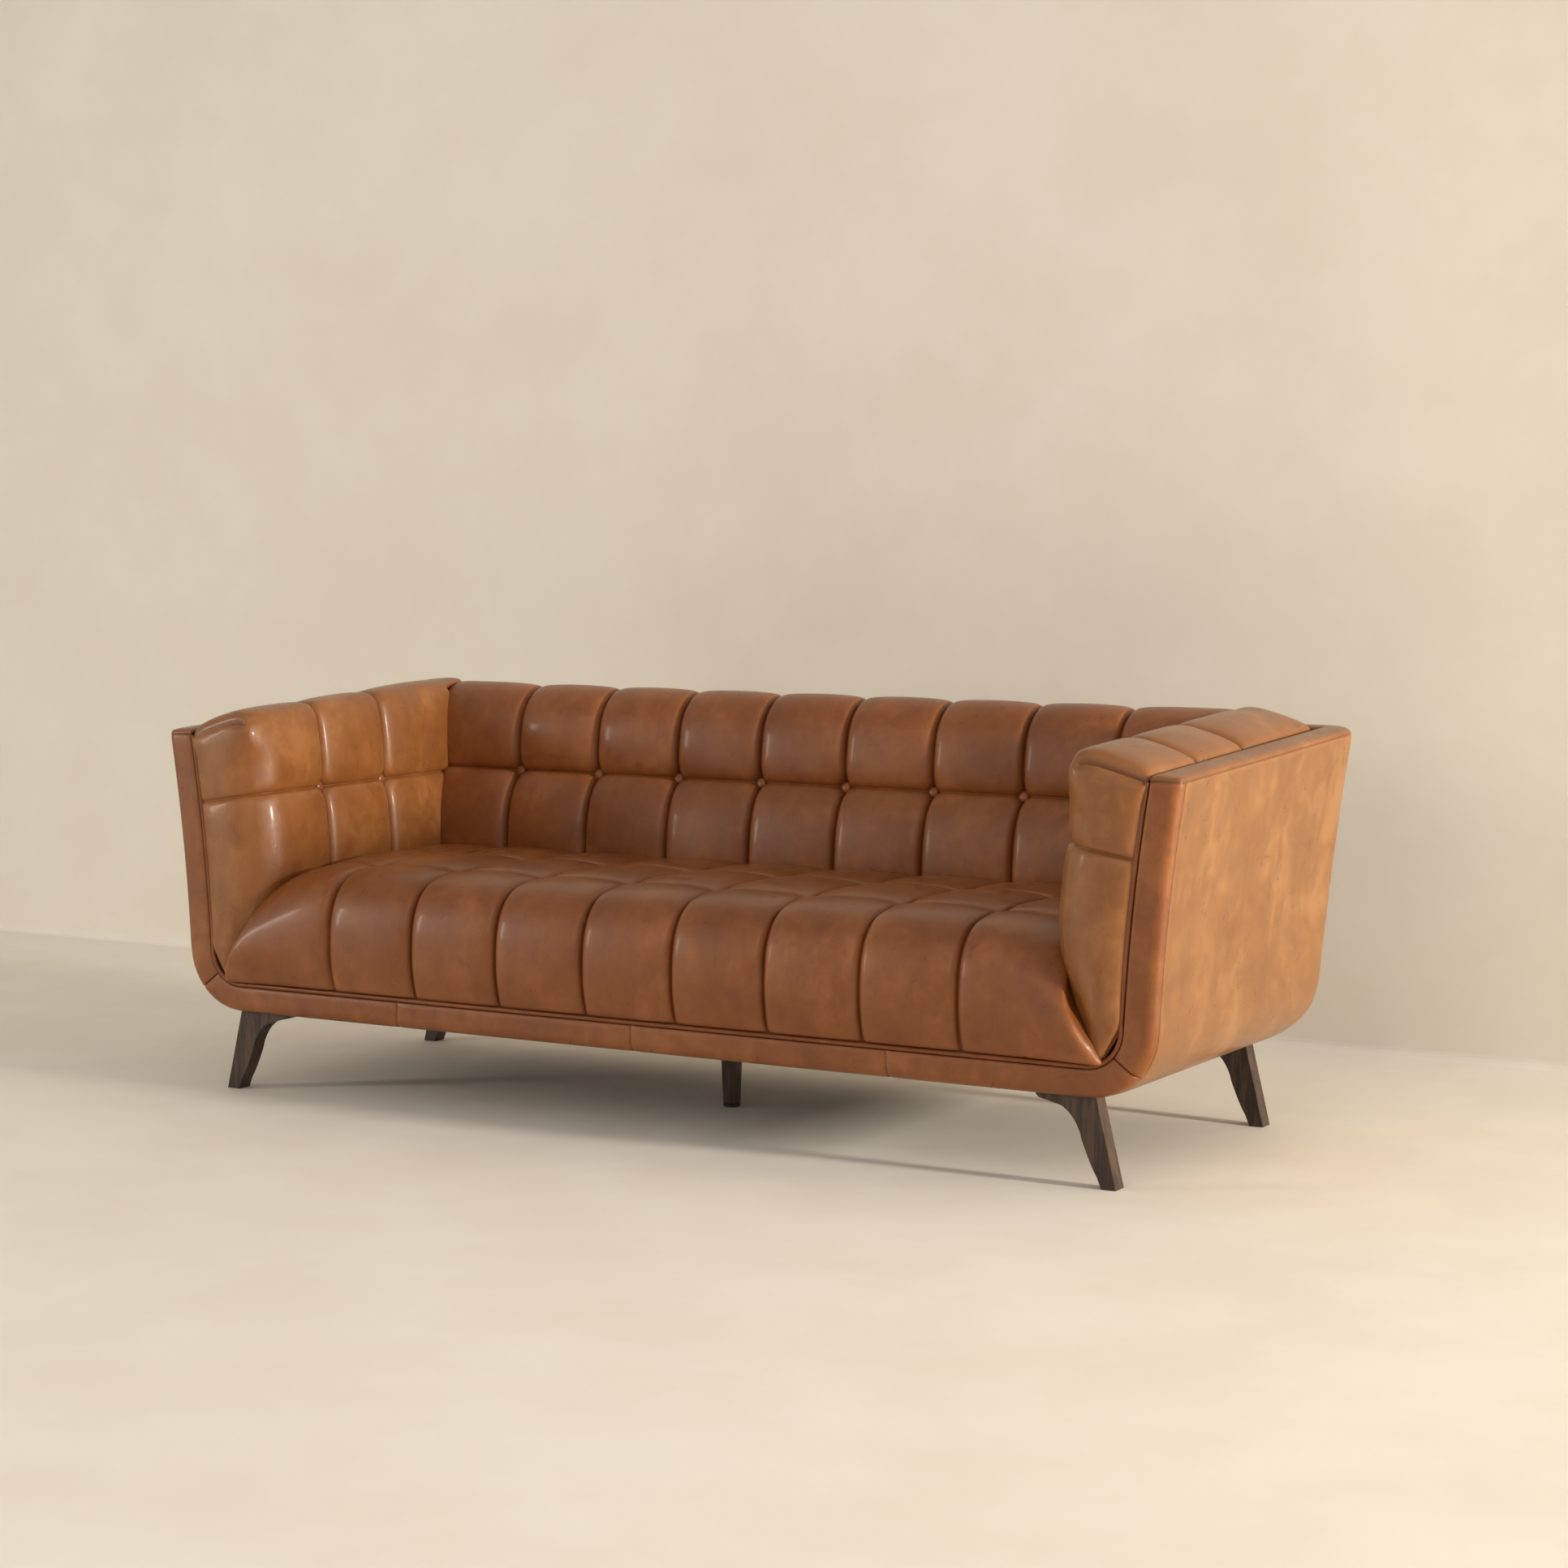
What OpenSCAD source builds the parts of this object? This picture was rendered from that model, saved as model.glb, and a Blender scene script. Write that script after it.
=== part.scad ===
// Three-seat tub sofa: tufted leather seat, back and arms in a curved shell on splayed wooden legs.
// X runs across the sofa, Y from the front to the back and Z up, in millimetres.
// The origin is on the floor, under the middle of the whole sofa.

/* [Tub] */
// Width over the arms, at the top of the front face
sofa_w = 2210; // [1800:10:2700]
// How far each arm leans out above its bottom corner
arm_flare = 44; // [10:1:80]
// Share of the lean that comes as a curve, steeper towards the bottom
flare_bow = 0.58; // [0:0.01:0.9]
// Depth of the tub, from its front face to its rear face
tub_d = 826; // [680:2:1000]
// How far the rear face leans out above its bottom corner
back_lean = 31; // [5:1:60]
// Height over which the rear face leans before it stands upright
lean_h = 360; // [200:5:440]
// Height of the arms above the underside, at the front
arm_h = 552; // [460:1:665]
// How far the rim rises from the front to the rear
rim_rise = 36; // [0:1:80]
// Radius of the bottom corners at the sides
corner_r = 124; // [100:1:150]
// Radius of the bottom corner at the rear
rear_r = 78; // [60:1:110]
// Radius of the upright rear corners, seen from above
post_r = 60; // [30:1:90]

/* [Covers] */
// Thickness of the outer covers, leather over board
cover_t = 8; // [6:0.5:10]
// Width of the front facing beside the arms
facing_w = 58; // [50:1:72]
// Height of the front facing under the seat
facing_low = 50; // [42:1:62]
// Angle of the mitre seams in the lower corners of the facing
mitre_angle = 42; // [30:1:60]
// Distance of the outer seams of the lower facing from the middle
facing_seam_x = 543; // [300:1:700]
// Diameter of the welt cord round the front opening
welt_d = 9; // [6:0.5:11]
// Thickness of the cloth under the frame
dust_t = 3; // [1:0.5:4]

/* [Cushions] */
// Thickness of the arm pads at their fullest
arm_pad = 148; // [110:1:185]
// Thickness of the back pad at seat level
back_pad = 147; // [110:1:185]
// Height of the seat above the underside
seat_rise = 300; // [245:1:365]
// How far the seat's rolled edge stands in front of the facing
seat_nose = 26; // [10:1:40]
// Radius of the rolled front edge of the seat
seat_roll_r = 130; // [90:1:160]
// How far the inner edge of the arm pads stands above the rim
arm_crown = 26; // [10:1:40]
// How far the back pad stands above the rim
back_crown = 38; // [20:1:60]
// Thickness of the pads' covers, leather over wadding
pad_cover_t = 6; // [4.5:0.5:10]
// Panels across the seat and the back
panels = 9; // [5:2:13]
// Width of the end panels at seat level
end_panel = 161; // [100:1:220]
// Height of the buttons above the seat
tuft_rise = 148; // [110:1:180]
// Distance of the first cross seam of the seat from the front face
seat_seam_y1 = 150; // [120:1:200]
// Distance between the cross seams of the seat
seat_seam_pitch = 225; // [150:1:260]
// Distance of the first arm button from the front face
arm_tuft_y1 = 213; // [150:1:260]
// Distance between the arm buttons
arm_tuft_pitch = 206; // [150:1:240]
// Width of the sewn grooves
seam_w = 2; // [1:0.5:4]
// Depth of the sewn grooves
seam_d = 4; // [2:0.5:4]
// Diameter of the covered buttons
button_d = 22; // [16:1:30]
// Depth of the pockets that the buttons are pulled into
button_sink = 24; // [16:1:32]
// Gap between pads that lie against each other
pad_gap = 1.5; // [0.5:0.5:4]

/* [Frame] */
// Height of the base rails
rail_h = 75; // [60:1:85]
// Thickness of the rails and posts
rail_t = 28; // [20:1:36]
// Thickness of the profile-cut ribs
rib_t = 18; // [12:1:24]
// Length of the corner blocks along the front
block_l = 130; // [110:1:150]
// Depth of the corner blocks
block_d = 70; // [55:1:90]
// Width of the centre joist that carries the middle leg
joist_w = 60; // [52:1:75]
// Height of the joists
joist_h = 55; // [40:1:60]
// Height of the rail on top of each arm
arm_rail_h = 22; // [16:1:28]
// Height of the rail on top of the back
back_rail_h = 48; // [36:1:60]
// Distance of the inner back posts from the middle
post_x = 300; // [200:1:380]
// Thickness of the boards inside the arms
liner_t = 3; // [2:0.5:4]

/* [Suspension] */
// Number of serpentine springs in each of the bays between the joists
springs_per_bay = 3; // [1:1:4]
// Thickness of the spring wire
wire_d = 3.8; // [3:0.1:4.5]
// Width of a serpentine spring
spring_w = 48; // [36:1:60]
// Length of one turn of a serpentine spring
spring_pitch = 64; // [45:1:90]
// Thickness of the cloth over the springs
deck_t = 1.5; // [1:0.5:3]
// Width of the back webbing
web_w = 50; // [40:1:60]
// Thickness of the back webbing
web_t = 2; // [1:0.5:3]

/* [Legs] */
// Height of the underside of the tub above the floor
leg_h = 162; // [130:1:200]
// Thickness of the plank legs
leg_t = 34; // [26:1:40]
// Distance of the outer top edge of the legs from the tub's side
leg_inset_x = 118; // [105:1:150]
// Distance of the front legs from the front face
leg_inset_y = 20; // [12:1:24]
// How far the legs splay outwards to the floor
leg_splay = 39; // [10:1:60]
// Length of the leg's top under the tub
leg_top_l = 116; // [100:1:140]
// Width of the foot of the legs
leg_foot_w = 28; // [22:1:40]
// Top diameter of the middle leg
mid_leg_top_d = 46; // [38:1:50]
// Bottom diameter of the middle leg
mid_leg_foot_d = 34; // [28:1:40]
// Diameter of the leg bolts
bolt_d = 6; // [5:0.5:8]
// Length of the leg bolts above the underside
bolt_grip = 45; // [30:1:55]
// Height of the glide's foot under the middle leg
glide_h = 5; // [4:0.5:8]
// Diameter of the glide's screw
glide_screw_d = 8; // [6:1:10]
// How far the glide screws out of the middle leg
glide_travel = 8; // [5:1:12]

/* [Hidden] */

LEATHER = [0.62, 0.36, 0.19];
LEATHER_DARK = [0.52, 0.29, 0.15];
FOAM = [0.93, 0.88, 0.70];
TIMBER = [0.80, 0.66, 0.45];
PLYWOOD = [0.86, 0.74, 0.54];
WALNUT = [0.27, 0.18, 0.13];
STEEL = [0.62, 0.63, 0.65];
CLOTH = [0.12, 0.12, 0.12];
BURLAP = [0.70, 0.60, 0.42];
WEBBING = [0.35, 0.33, 0.30];

// Clearance between parts that lie side by side, and the reach of cutting tools past a part
clear = 0.5;
far = 60;
$fn = 48;

// Overall places worked out from the sizes above
front_y = -(tub_d - seat_nose) / 2;
low_half = sofa_w / 2 - arm_flare;
corner_x = low_half - corner_r;
corner_top = leg_h + corner_r;
rear_low = tub_d - back_lean;
rear_flat = rear_low - rear_r;
rear_top = leg_h + rear_r;
frame_ex = facing_w - cover_t;
frame_ez = facing_low - cover_t;
base_z = leg_h + dust_t;
rail_z = base_z + rail_h;
deck_z = rail_z + wire_d + 8;
seat_z = leg_h + seat_rise;
seat_lip_z = leg_h + facing_low + welt_d + 1;
seat_half = low_half - facing_w - arm_pad;
seat_back_y = rear_low - facing_w - back_pad;
tuft_z = seat_z + tuft_rise;
rim_half = arm_x(rim_z(tub_d));
back_z = rim_z(tub_d) + back_crown;
tall = back_z + 40;
pitch = 2 * (seat_half - end_panel) / (panels - 2);
seam_xs = [for (i = [0 : panels - 2]) (i - (panels - 2) / 2) * pitch];
seat_seam_ys = [seat_seam_y1, seat_seam_y1 + seat_seam_pitch];
arm_tuft_ys = [arm_tuft_y1, arm_tuft_y1 + arm_tuft_pitch];

// Height of the rim at a distance u behind the front face
function rim_z(u) = leg_h + arm_h + rim_rise * u / tub_d;

// Half the width of the tub at height z
function arm_x(z) =
    let (t = max(0, (z - corner_top) / (arm_h - corner_r)))
    low_half + arm_flare * ((1 - flare_bow) * t + flare_bow * t * t);

// Distance of the rear face behind the front face at height z
function rear_u(z) =
    let (t = min(1, max(0, (z - rear_top) / lean_h)))
    rear_low + back_lean * t * (2 - t);

function arc(cx, cy, r, a0, a1, n) =
    [for (i = [0 : n]) let (a = a0 + (a1 - a0) * i / n) [cx + r * cos(a), cy + r * sin(a)]];

function quad(a, b, c, n) =
    [for (i = [0 : n]) let (t = i / n) a * (1 - t) * (1 - t) + b * 2 * t * (1 - t) + c * t * t];

function reversed(p) = [for (i = [len(p) - 1 : -1 : 0]) p[i]];
function mirrored(p) = [for (q = reversed(p)) [-q[0], q[1]]];

// Right half of the tub's outline seen from the front, inset by ex at the side and ez underneath
function half_outline(ex, ez, top) =
    let (r = corner_r - (ex + ez) / 2, z0 = leg_h + ez + r)
    concat(
        arc(low_half - ex - r, z0, r, -90, 0, 14),
        [for (i = [1 : 10]) let (z = z0 + (top - z0) * i / 10) [arm_x(z) - ex, z]]
    );

// Rear outline of the tub seen from the side, inset by e, from the underside up to a height
function rear_outline(e, top) =
    concat(
        arc(rear_flat, rear_top, rear_r - e, -90, 0, 10),
        [for (i = [1 : 10]) let (z = rear_top + (top - rear_top) * i / 10) [rear_u(z) - e, z]]
    );

function rear_curve(e, z0, z1) = [for (i = [0 : 10]) let (z = z0 + (z1 - z0) * i / 10) [rear_u(z) - e, z]];

// Polygon drawn inwards by e on every edge but the ones listed in bare
function side_of(p, i) =
    let (d = p[(i + 1) % len(p)] - p[i])
    [-d[1], d[0]] / norm(d);
function inset(p, e, bare = []) =
    [for (i = [0 : len(p) - 1]) let (
        j = (i + len(p) - 1) % len(p),
        n1 = side_of(p, j), n2 = side_of(p, i),
        e1 = len(search(j, bare)) > 0 ? 0 : e,
        e2 = len(search(i, bare)) > 0 ? 0 : e,
        c = n1[0] * n2[1] - n1[1] * n2[0]
    ) abs(c) < 0.001 ? p[i] + n2 * e2
        : p[i] + [e1 * n2[1] - e2 * n1[1], e2 * n1[0] - e1 * n2[0]] / c];

// Outline drawn in X and Z, run from u0 to u1 behind the front face
module run_back(u0, u1) {
    translate([0, front_y + u1, 0])
        rotate([90, 0, 0])
            linear_extrude(u1 - u0)
                children();
}

// Outline drawn in u and Z, run across from x0 to x1
module run_across(x0, x1) {
    translate([x0, front_y, 0])
        rotate([90, 0, 90])
            linear_extrude(x1 - x0)
                children();
}

module block(x0, x1, u0, u1, z0, z1) {
    translate([x0, front_y + u0, z0])
        cube([x1 - x0, u1 - u0, z1 - z0]);
}

module peg_y(x, u0, u1, z, d) {
    translate([x, front_y + u0, z])
        rotate([-90, 0, 0])
            cylinder(h = u1 - u0, d = d);
}

module peg_x(x0, x1, u, z, d) {
    translate([x0, front_y + u, z])
        rotate([0, 90, 0])
            cylinder(h = x1 - x0, d = d);
}

module on_side(side) {
    if (side > 0) children();
    else mirror([1, 0, 0]) children();
}

// The tub as a block, inset by e all round, with its top a distance drop below the rim
module tub(e, drop) {
    half = half_outline(e, e, tall);
    r = post_r - min(e, post_r - 2);
    w = rim_half - e;
    d = tub_d - e;
    intersection() {
        run_back(-far, tub_d + far)
            polygon(concat(half, mirrored(half)));
        run_across(-sofa_w, sofa_w)
            polygon(concat(
                [[-far, leg_h + e]],
                rear_outline(e, rim_z(tub_d) - drop),
                [[-far, rim_z(-far) - drop]]
            ));
        translate([0, front_y, 0])
            linear_extrude(tall)
                polygon(concat(
                    [[-w, -far], [w, -far]],
                    arc(w - r, d - r, r, 0, 90, 10),
                    arc(r - w, d - r, r, 90, 180, 10)
                ));
    }
}

// ---- Outer covers ----

module skin() {
    difference() {
        tub(0, cover_t + clear);
        tub(cover_t, -far);
        block(-sofa_w, sofa_w, -2 * far, cover_t + clear, 0, tall);
    }
}

module side_cover(side) {
    color(LEATHER)
        on_side(side)
            intersection() {
                skin();
                block(corner_x, sofa_w, 0, 2 * tub_d, 0, tall);
            }
}
module side_cover_left() { side_cover(-1); }
module side_cover_right() { side_cover(1); }

module rear_cover() {
    color(LEATHER)
        intersection() {
            skin();
            block(clear - corner_x, corner_x - clear, rear_flat, 2 * tub_d, 0, tall);
        }
}

module facing_outline() {
    outer = half_outline(0, 0, rim_z(0));
    inner = half_outline(facing_w, facing_low, rim_z(0));
    polygon(concat([[0, leg_h]], outer, reversed(inner), [[0, leg_h + facing_low]]));
}

module mitre_wedge(gap) {
    polygon([
        [corner_x, corner_top + gap],
        [corner_x + 4 * corner_r, corner_top + gap - 4 * corner_r * tan(mitre_angle)],
        [corner_x + 4 * corner_r, 2 * tall],
        [corner_x, 2 * tall]
    ]);
}

module front_facing(side) {
    color(LEATHER)
        on_side(side)
            run_back(0, cover_t)
                intersection() {
                    facing_outline();
                    mitre_wedge(clear);
                }
}
module front_facing_left() { front_facing(-1); }
module front_facing_right() { front_facing(1); }

module front_facing_lower() {
    color(LEATHER)
        for (side = [-1, 1])
            on_side(side)
                run_back(0, cover_t)
                    difference() {
                        facing_outline();
                        mitre_wedge(0);
                        for (x = [0, facing_seam_x])
                            translate([x - clear / 2, 0])
                                square([clear, tall]);
                    }
}

// Band along the top of the walls, between two depths below the rim and as wide as the wall
module rim_band(e, width, drop0, drop1) {
    difference() {
        tub(e, drop0);
        rim_under(e, drop1);
        rim_hollow(e + width);
    }
}

// Everything below a depth under the sloping rim
module rim_under(e, drop) {
    run_across(-sofa_w, sofa_w)
        polygon([
            [-2 * far, -far],
            [tub_d + 2 * far, -far],
            [tub_d + 2 * far, rim_z(tub_d + 2 * far) - drop],
            [-2 * far, rim_z(-2 * far) - drop]
        ]);
}

// The space inside the walls
module rim_hollow(e) {
    half = half_outline(e, e, tall);
    intersection() {
        run_back(-2 * far, tub_d)
            polygon(concat(half, mirrored(half)));
        run_across(-sofa_w, sofa_w)
            polygon(concat([[-2 * far, leg_h]], rear_outline(e, tall), [[-2 * far, tall]]));
    }
}

module rim_facing(side) {
    color(LEATHER)
        on_side(side)
            intersection() {
                rim_band(0, facing_w, 0, cover_t);
                block(corner_x, sofa_w, cover_t + clear, 2 * tub_d, 0, tall);
            }
}
module rim_facing_left() { rim_facing(-1); }
module rim_facing_right() { rim_facing(1); }

module rim_facing_rear() {
    color(LEATHER)
        intersection() {
            rim_band(0, facing_w, 0, cover_t);
            block(clear - corner_x, corner_x - clear, tub_d / 2, 2 * tub_d, 0, tall);
        }
}

// Centre line of the welt: flat under the seat, round each corner and up each arm
function welt_half() =
    half_outline(facing_w + welt_d / 2, facing_low + welt_d / 2, rim_z(0) - welt_d / 2);

// Round cord swept along points in X and Z: one ring of corners at each point, square to the path
module cord(path, d, sides) {
    n = len(path);
    ring = [for (i = [0 : n - 1]) let (
        a = path[max(0, i - 1)], b = path[min(n - 1, i + 1)], t = (b - a) / norm(b - a)
    ) for (k = [0 : sides - 1]) let (w = 360 * k / sides)
        [path[i][0] - t[1] * cos(w) * d / 2, sin(w) * d / 2, path[i][1] + t[0] * cos(w) * d / 2]];
    walls = [for (i = [0 : n - 2], k = [0 : sides - 1]) let (
        a = i * sides + k, b = i * sides + (k + 1) % sides
    ) [a, b, b + sides, a + sides]];
    translate([0, front_y, 0])
        polyhedron(
            ring,
            concat([[for (k = [sides - 1 : -1 : 0]) k]], walls, [[for (k = [0 : sides - 1]) (n - 1) * sides + k]])
        );
}

module front_welt() {
    half = welt_half();
    color(LEATHER_DARK)
        cord(concat(mirrored(half), half), welt_d, 10);
}

module dust_cover() {
    color(CLOTH)
        difference() {
            block(clear - corner_x, corner_x - clear, cover_t + clear, rear_flat - clear,
                leg_h, leg_h + dust_t);
            leg_bolt_holes(bolt_d + 2);
            translate([0, mid_leg_y, leg_h - 1])
                cylinder(h = dust_t + 2, d = glide_screw_d + 2);
        }
}

// ---- Pads ----

// Front edge of the seat below its roll: a shallow curve out to the nose
function nose_u(z) =
    let (nose_z = seat_z - seat_roll_r, h = nose_z - seat_lip_z, s = (nose_z - z) / h)
    -seat_nose * sqrt(max(0, 1 - s * s));

function seat_outline(lip) =
    let (
        nose_z = seat_z - seat_roll_r,
        foot_z = lip ? seat_lip_z : deck_z,
        bottom = lip ? [[0, seat_lip_z], [cover_t - 1, seat_lip_z], [cover_t - 1, deck_z]]
            : [[nose_u(deck_z), deck_z]]
    )
    concat(
        bottom,
        [[seat_back_y - pad_gap, deck_z], [seat_back_y - pad_gap, seat_z - 24]],
        quad([seat_back_y - pad_gap - 3, seat_z - 14], [seat_back_y - 14, seat_z],
            [seat_back_y - 40, seat_z], 4),
        arc(seat_roll_r - seat_nose, nose_z, seat_roll_r, 90, 180, 12),
        [for (i = [1 : 6]) let (z = nose_z + (foot_z - nose_z) * i / 7) [nose_u(z), z]]
    );

// Inner face of the right arm pad, from its foot to above its top
function arm_face(gap) =
    let (foot_z = leg_h + 78, top_z = rim_z(0)) [
        [corner_x + 13 - gap, foot_z],
        [seat_half + 50 - gap, foot_z + (seat_z - foot_z) * 0.43],
        [seat_half + 7 - gap, seat_z - 17],
        [seat_half - gap, seat_z + 30],
        [seat_half + 3 - gap, seat_z + 68],
        [seat_half + 22 - gap, top_z - 74],
        [seat_half + 33 - gap, top_z - 20],
        [seat_half + 46 - gap, top_z + arm_crown],
        [seat_half + 49 - gap, tall]
    ];

function seat_front() =
    let (
        face = arm_face(pad_gap),
        half = [[corner_x - 9, seat_lip_z], face[0], face[1], face[2], [seat_half - 6, seat_z]]
    )
    concat(half, mirrored(half));

module seat_pad(lip, e) {
    bare = lip ? [] : [0];
    intersection() {
        run_across(-sofa_w / 2, sofa_w / 2)
            polygon(inset(seat_outline(lip), e, bare));
        run_back(-far, tub_d)
            polygon(inset(seat_front(), e));
    }
}

module seat_seams() {
    for (x = seam_xs)
        run_across(x - seam_w / 2, x + seam_w / 2)
            difference() {
                polygon(inset(seat_outline(true), -far));
                polygon(inset(seat_outline(true), seam_d));
                square([4 * tub_d, deck_z * 2], center = true);
            }
    for (u = seat_seam_ys)
        block(-seat_half + 8, seat_half - 8, u - seam_w / 2, u + seam_w / 2,
            seat_z - seam_d, seat_z + far);
}

module seat_cover() {
    color(LEATHER)
        difference() {
            seat_pad(true, 0);
            seat_pad(false, pad_cover_t);
            seat_seams();
        }
}

module seat_foam() {
    color(FOAM)
        seat_pad(false, pad_cover_t);
}

// The back pad from the side: full in its lower half, drawn in at the buttons, rolled over the rim
function back_outline() =
    let (u = seat_back_y, rear_z = rim_z(tub_d) + 4)
    concat(
        [[u, deck_z]],
        rear_curve(facing_w + clear, deck_z, rear_z),
        [
            [rear_u(rear_z) - facing_w - 4, rear_z + 18],
            [rear_u(rear_z) - facing_w - 33, back_z - 1],
            [u + 115, back_z],
            [u + 82, back_z - 8],
            [u + 50, back_z - 36],
            [u + 35, back_z - 73],
            [u + 28, tuft_z + 55],
            [u + 22, tuft_z + 15],
            [u + 4, tuft_z - 10],
            [u - 10, tuft_z - 50],
            [u - 12, seat_z + 38],
            [u, seat_z - 24]
        ]
    );

function back_front() =
    let (face = arm_face(pad_gap), low = [face[1][0], deck_z])
    let (half = concat([low], [for (i = [1 : len(face) - 1]) face[i]]))
    concat(half, mirrored(half));

module back_pad_solid(e) {
    intersection() {
        run_across(-sofa_w / 2, sofa_w / 2)
            polygon(inset(back_outline(), e, [0]));
        run_back(0, tub_d)
            polygon(inset(back_front(), e, [len(back_front()) - 1]));
    }
}

// Where the back buttons lie, behind the pad's front face
button_u = seat_back_y + 18 + button_sink;

module back_pockets(grow) {
    for (x = seam_xs) {
        peg_y(x, seat_back_y - far, button_u + grow, tuft_z, button_d + 8 + 2 * grow);
        peg_y(x, seat_back_y, tub_d, tuft_z, 5);
    }
}

module back_seams() {
    for (x = seam_xs)
        run_across(x - seam_w / 2, x + seam_w / 2)
            intersection() {
                difference() {
                    polygon(inset(back_outline(), -far));
                    polygon(inset(back_outline(), seam_d));
                }
                translate([seat_back_y - far, seat_z]) square([far + 90, tall]);
            }
    block(-seat_half - 6, seat_half + 6, seat_back_y - far, seat_back_y + 14 + seam_d,
        tuft_z - seam_w / 2, tuft_z + seam_w / 2);
}

module back_cover() {
    color(LEATHER)
        difference() {
            back_pad_solid(0);
            difference() {
                back_pad_solid(pad_cover_t);
                back_pockets(pad_cover_t);
            }
            back_pockets(0);
            back_seams();
        }
}

module back_foam() {
    color(FOAM)
        difference() {
            back_pad_solid(pad_cover_t);
            back_pockets(pad_cover_t + clear);
        }
}

// The arm pad from the front, as tall as the whole tub; its roof is cut separately
function arm_outline() =
    let (
        wall = half_outline(facing_w + clear, facing_low + clear, tall),
        bend = [for (i = [8 : len(wall) - 1]) wall[i]]
    )
    concat([arm_face(0)[0]], bend, reversed([for (i = [1 : 8]) arm_face(0)[i]]));

// The arm pad's rounded roof, which climbs towards the rear with the rim
function arm_roof() =
    let (z = rim_z(0), inner = seat_half + 46, outer = arm_x(z) - facing_w) [
        [seat_half - 40, 0],
        [outer + 30, 0],
        [outer + 30, z - 16],
        [outer, z - 2],
        [outer - 30, z + arm_crown - 2],
        [outer - 64, z + arm_crown + 10],
        [inner + 45, z + arm_crown + 14],
        [inner + 18, z + arm_crown + 9],
        [inner, z + arm_crown],
        [seat_half - 40, z + arm_crown - 50]
    ];

module arm_pad_solid(e) {
    slope = atan(rim_rise / tub_d);
    rear = tub_d - facing_w - clear;
    intersection() {
        run_back(e, rear - e)
            polygon(inset(arm_outline(), e));
        translate([0, front_y, 0])
            rotate([slope, 0, 0])
                translate([0, 2 * tub_d, 0])
                    rotate([90, 0, 0])
                        linear_extrude(3 * tub_d)
                            polygon(inset(arm_roof(), e, [0, 1, 9]));
        run_across(0, sofa_w)
            polygon(inset(concat(
                [[-far, leg_h], [rear_low - facing_w - clear, leg_h]],
                rear_curve(facing_w + clear, rear_top, rim_z(tub_d)),
                [[tub_d - facing_w - 24, tall], [-far, tall]]
            ), e, [0, 13]));
    }
}

// Groove at the front of the arm pad that the welt lies in
module welt_groove() {
    inner = half_outline(facing_w + welt_d + 1, facing_low + welt_d + 1, tall);
    run_back(-far, welt_d / 2 + 1)
        difference() {
            square([2 * sofa_w, 2 * tall + 200], center = true);
            polygon(concat([[0, leg_h + facing_low + welt_d + 1]], inner, [[0, tall]]));
        }
}

arm_button_x = seat_half + 10 + button_sink;
arm_tuft_z = tuft_z - 10;

module arm_pockets(grow) {
    for (u = arm_tuft_ys) {
        peg_x(seat_half - far, arm_button_x + grow, u, arm_tuft_z, button_d + 8 + 2 * grow);
        peg_x(seat_half, rim_half, u, arm_tuft_z, 5);
    }
}

module arm_seams() {
    for (u = arm_tuft_ys)
        run_back(u - seam_w / 2, u + seam_w / 2)
            difference() {
                polygon([[0, seat_z + 6], [seat_half + 46, seat_z + 6], [seat_half + 46, tall], [0, tall]]);
                polygon(inset(arm_outline(), seam_d));
            }
    block(0, seat_half + 13 + seam_d, -far, seat_back_y, arm_tuft_z - seam_w / 2, arm_tuft_z + seam_w / 2);
}

module arm_cover(side) {
    color(LEATHER)
        on_side(side)
            difference() {
                arm_pad_solid(0);
                difference() {
                    arm_pad_solid(pad_cover_t);
                    arm_pockets(pad_cover_t);
                    arm_foam_foot();
                }
                arm_pockets(0);
                arm_seams();
                welt_groove();
            }
}
module arm_cover_left() { arm_cover(-1); }
module arm_cover_right() { arm_cover(1); }

// The foam stops short of the welt and of the narrow foot of the pad
module arm_foam_foot() {
    block(0, sofa_w, -far, tub_d, 0, leg_h + 100);
    block(0, sofa_w, -far, welt_d / 2 + 1 + pad_cover_t, 0, tall);
}

module arm_foam(side) {
    color(FOAM)
        on_side(side)
            difference() {
                arm_pad_solid(pad_cover_t);
                arm_pockets(pad_cover_t + clear);
                arm_foam_foot();
            }
}
module arm_foam_left() { arm_foam(-1); }
module arm_foam_right() { arm_foam(1); }

// A covered button with a low dome and the cord that pulls it in, along +Z from its rear face
module button(cord_l) {
    cap_h = button_d * 0.36;
    cylinder(h = cord_l, d = 3, $fn = 16);
    translate([0, 0, -cap_h * 0.45])
        cylinder(h = cap_h * 0.45, d = button_d);
    translate([0, 0, -cap_h * 0.45])
        rotate([180, 0, 0])
            rotate_extrude()
                intersection() {
                    translate([0, -button_d * 0.62])
                        circle(r = button_d * 0.62 + cap_h * 0.55);
                    square([button_d / 2, button_d]);
                }
}

module back_buttons() {
    color(LEATHER)
        for (x = seam_xs)
            translate([x, front_y + button_u - clear, tuft_z])
                rotate([-90, 0, 0])
                    button(rear_u(tuft_z) - frame_ex - web_t - 2 - button_u);
}

module arm_buttons(side) {
    color(LEATHER)
        on_side(side)
            for (u = arm_tuft_ys)
                translate([arm_button_x - clear, front_y + u, arm_tuft_z])
                    rotate([0, 90, 0])
                        button(arm_x(arm_tuft_z) - frame_ex - liner_t - 2 - arm_button_x);
}
module arm_buttons_left() { arm_buttons(-1); }
module arm_buttons_right() { arm_buttons(1); }

// ---- Timber frame ----

block_x1 = corner_x - (facing_w - facing_low) / 2 - 3;
block_x0 = block_x1 - block_l;
rear_rail_u = rear_flat - rail_t;
front_block_u = cover_t + clear + rib_t;
spring_u0 = cover_t + clear + 12;
spring_u1 = rear_flat - 12;

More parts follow.
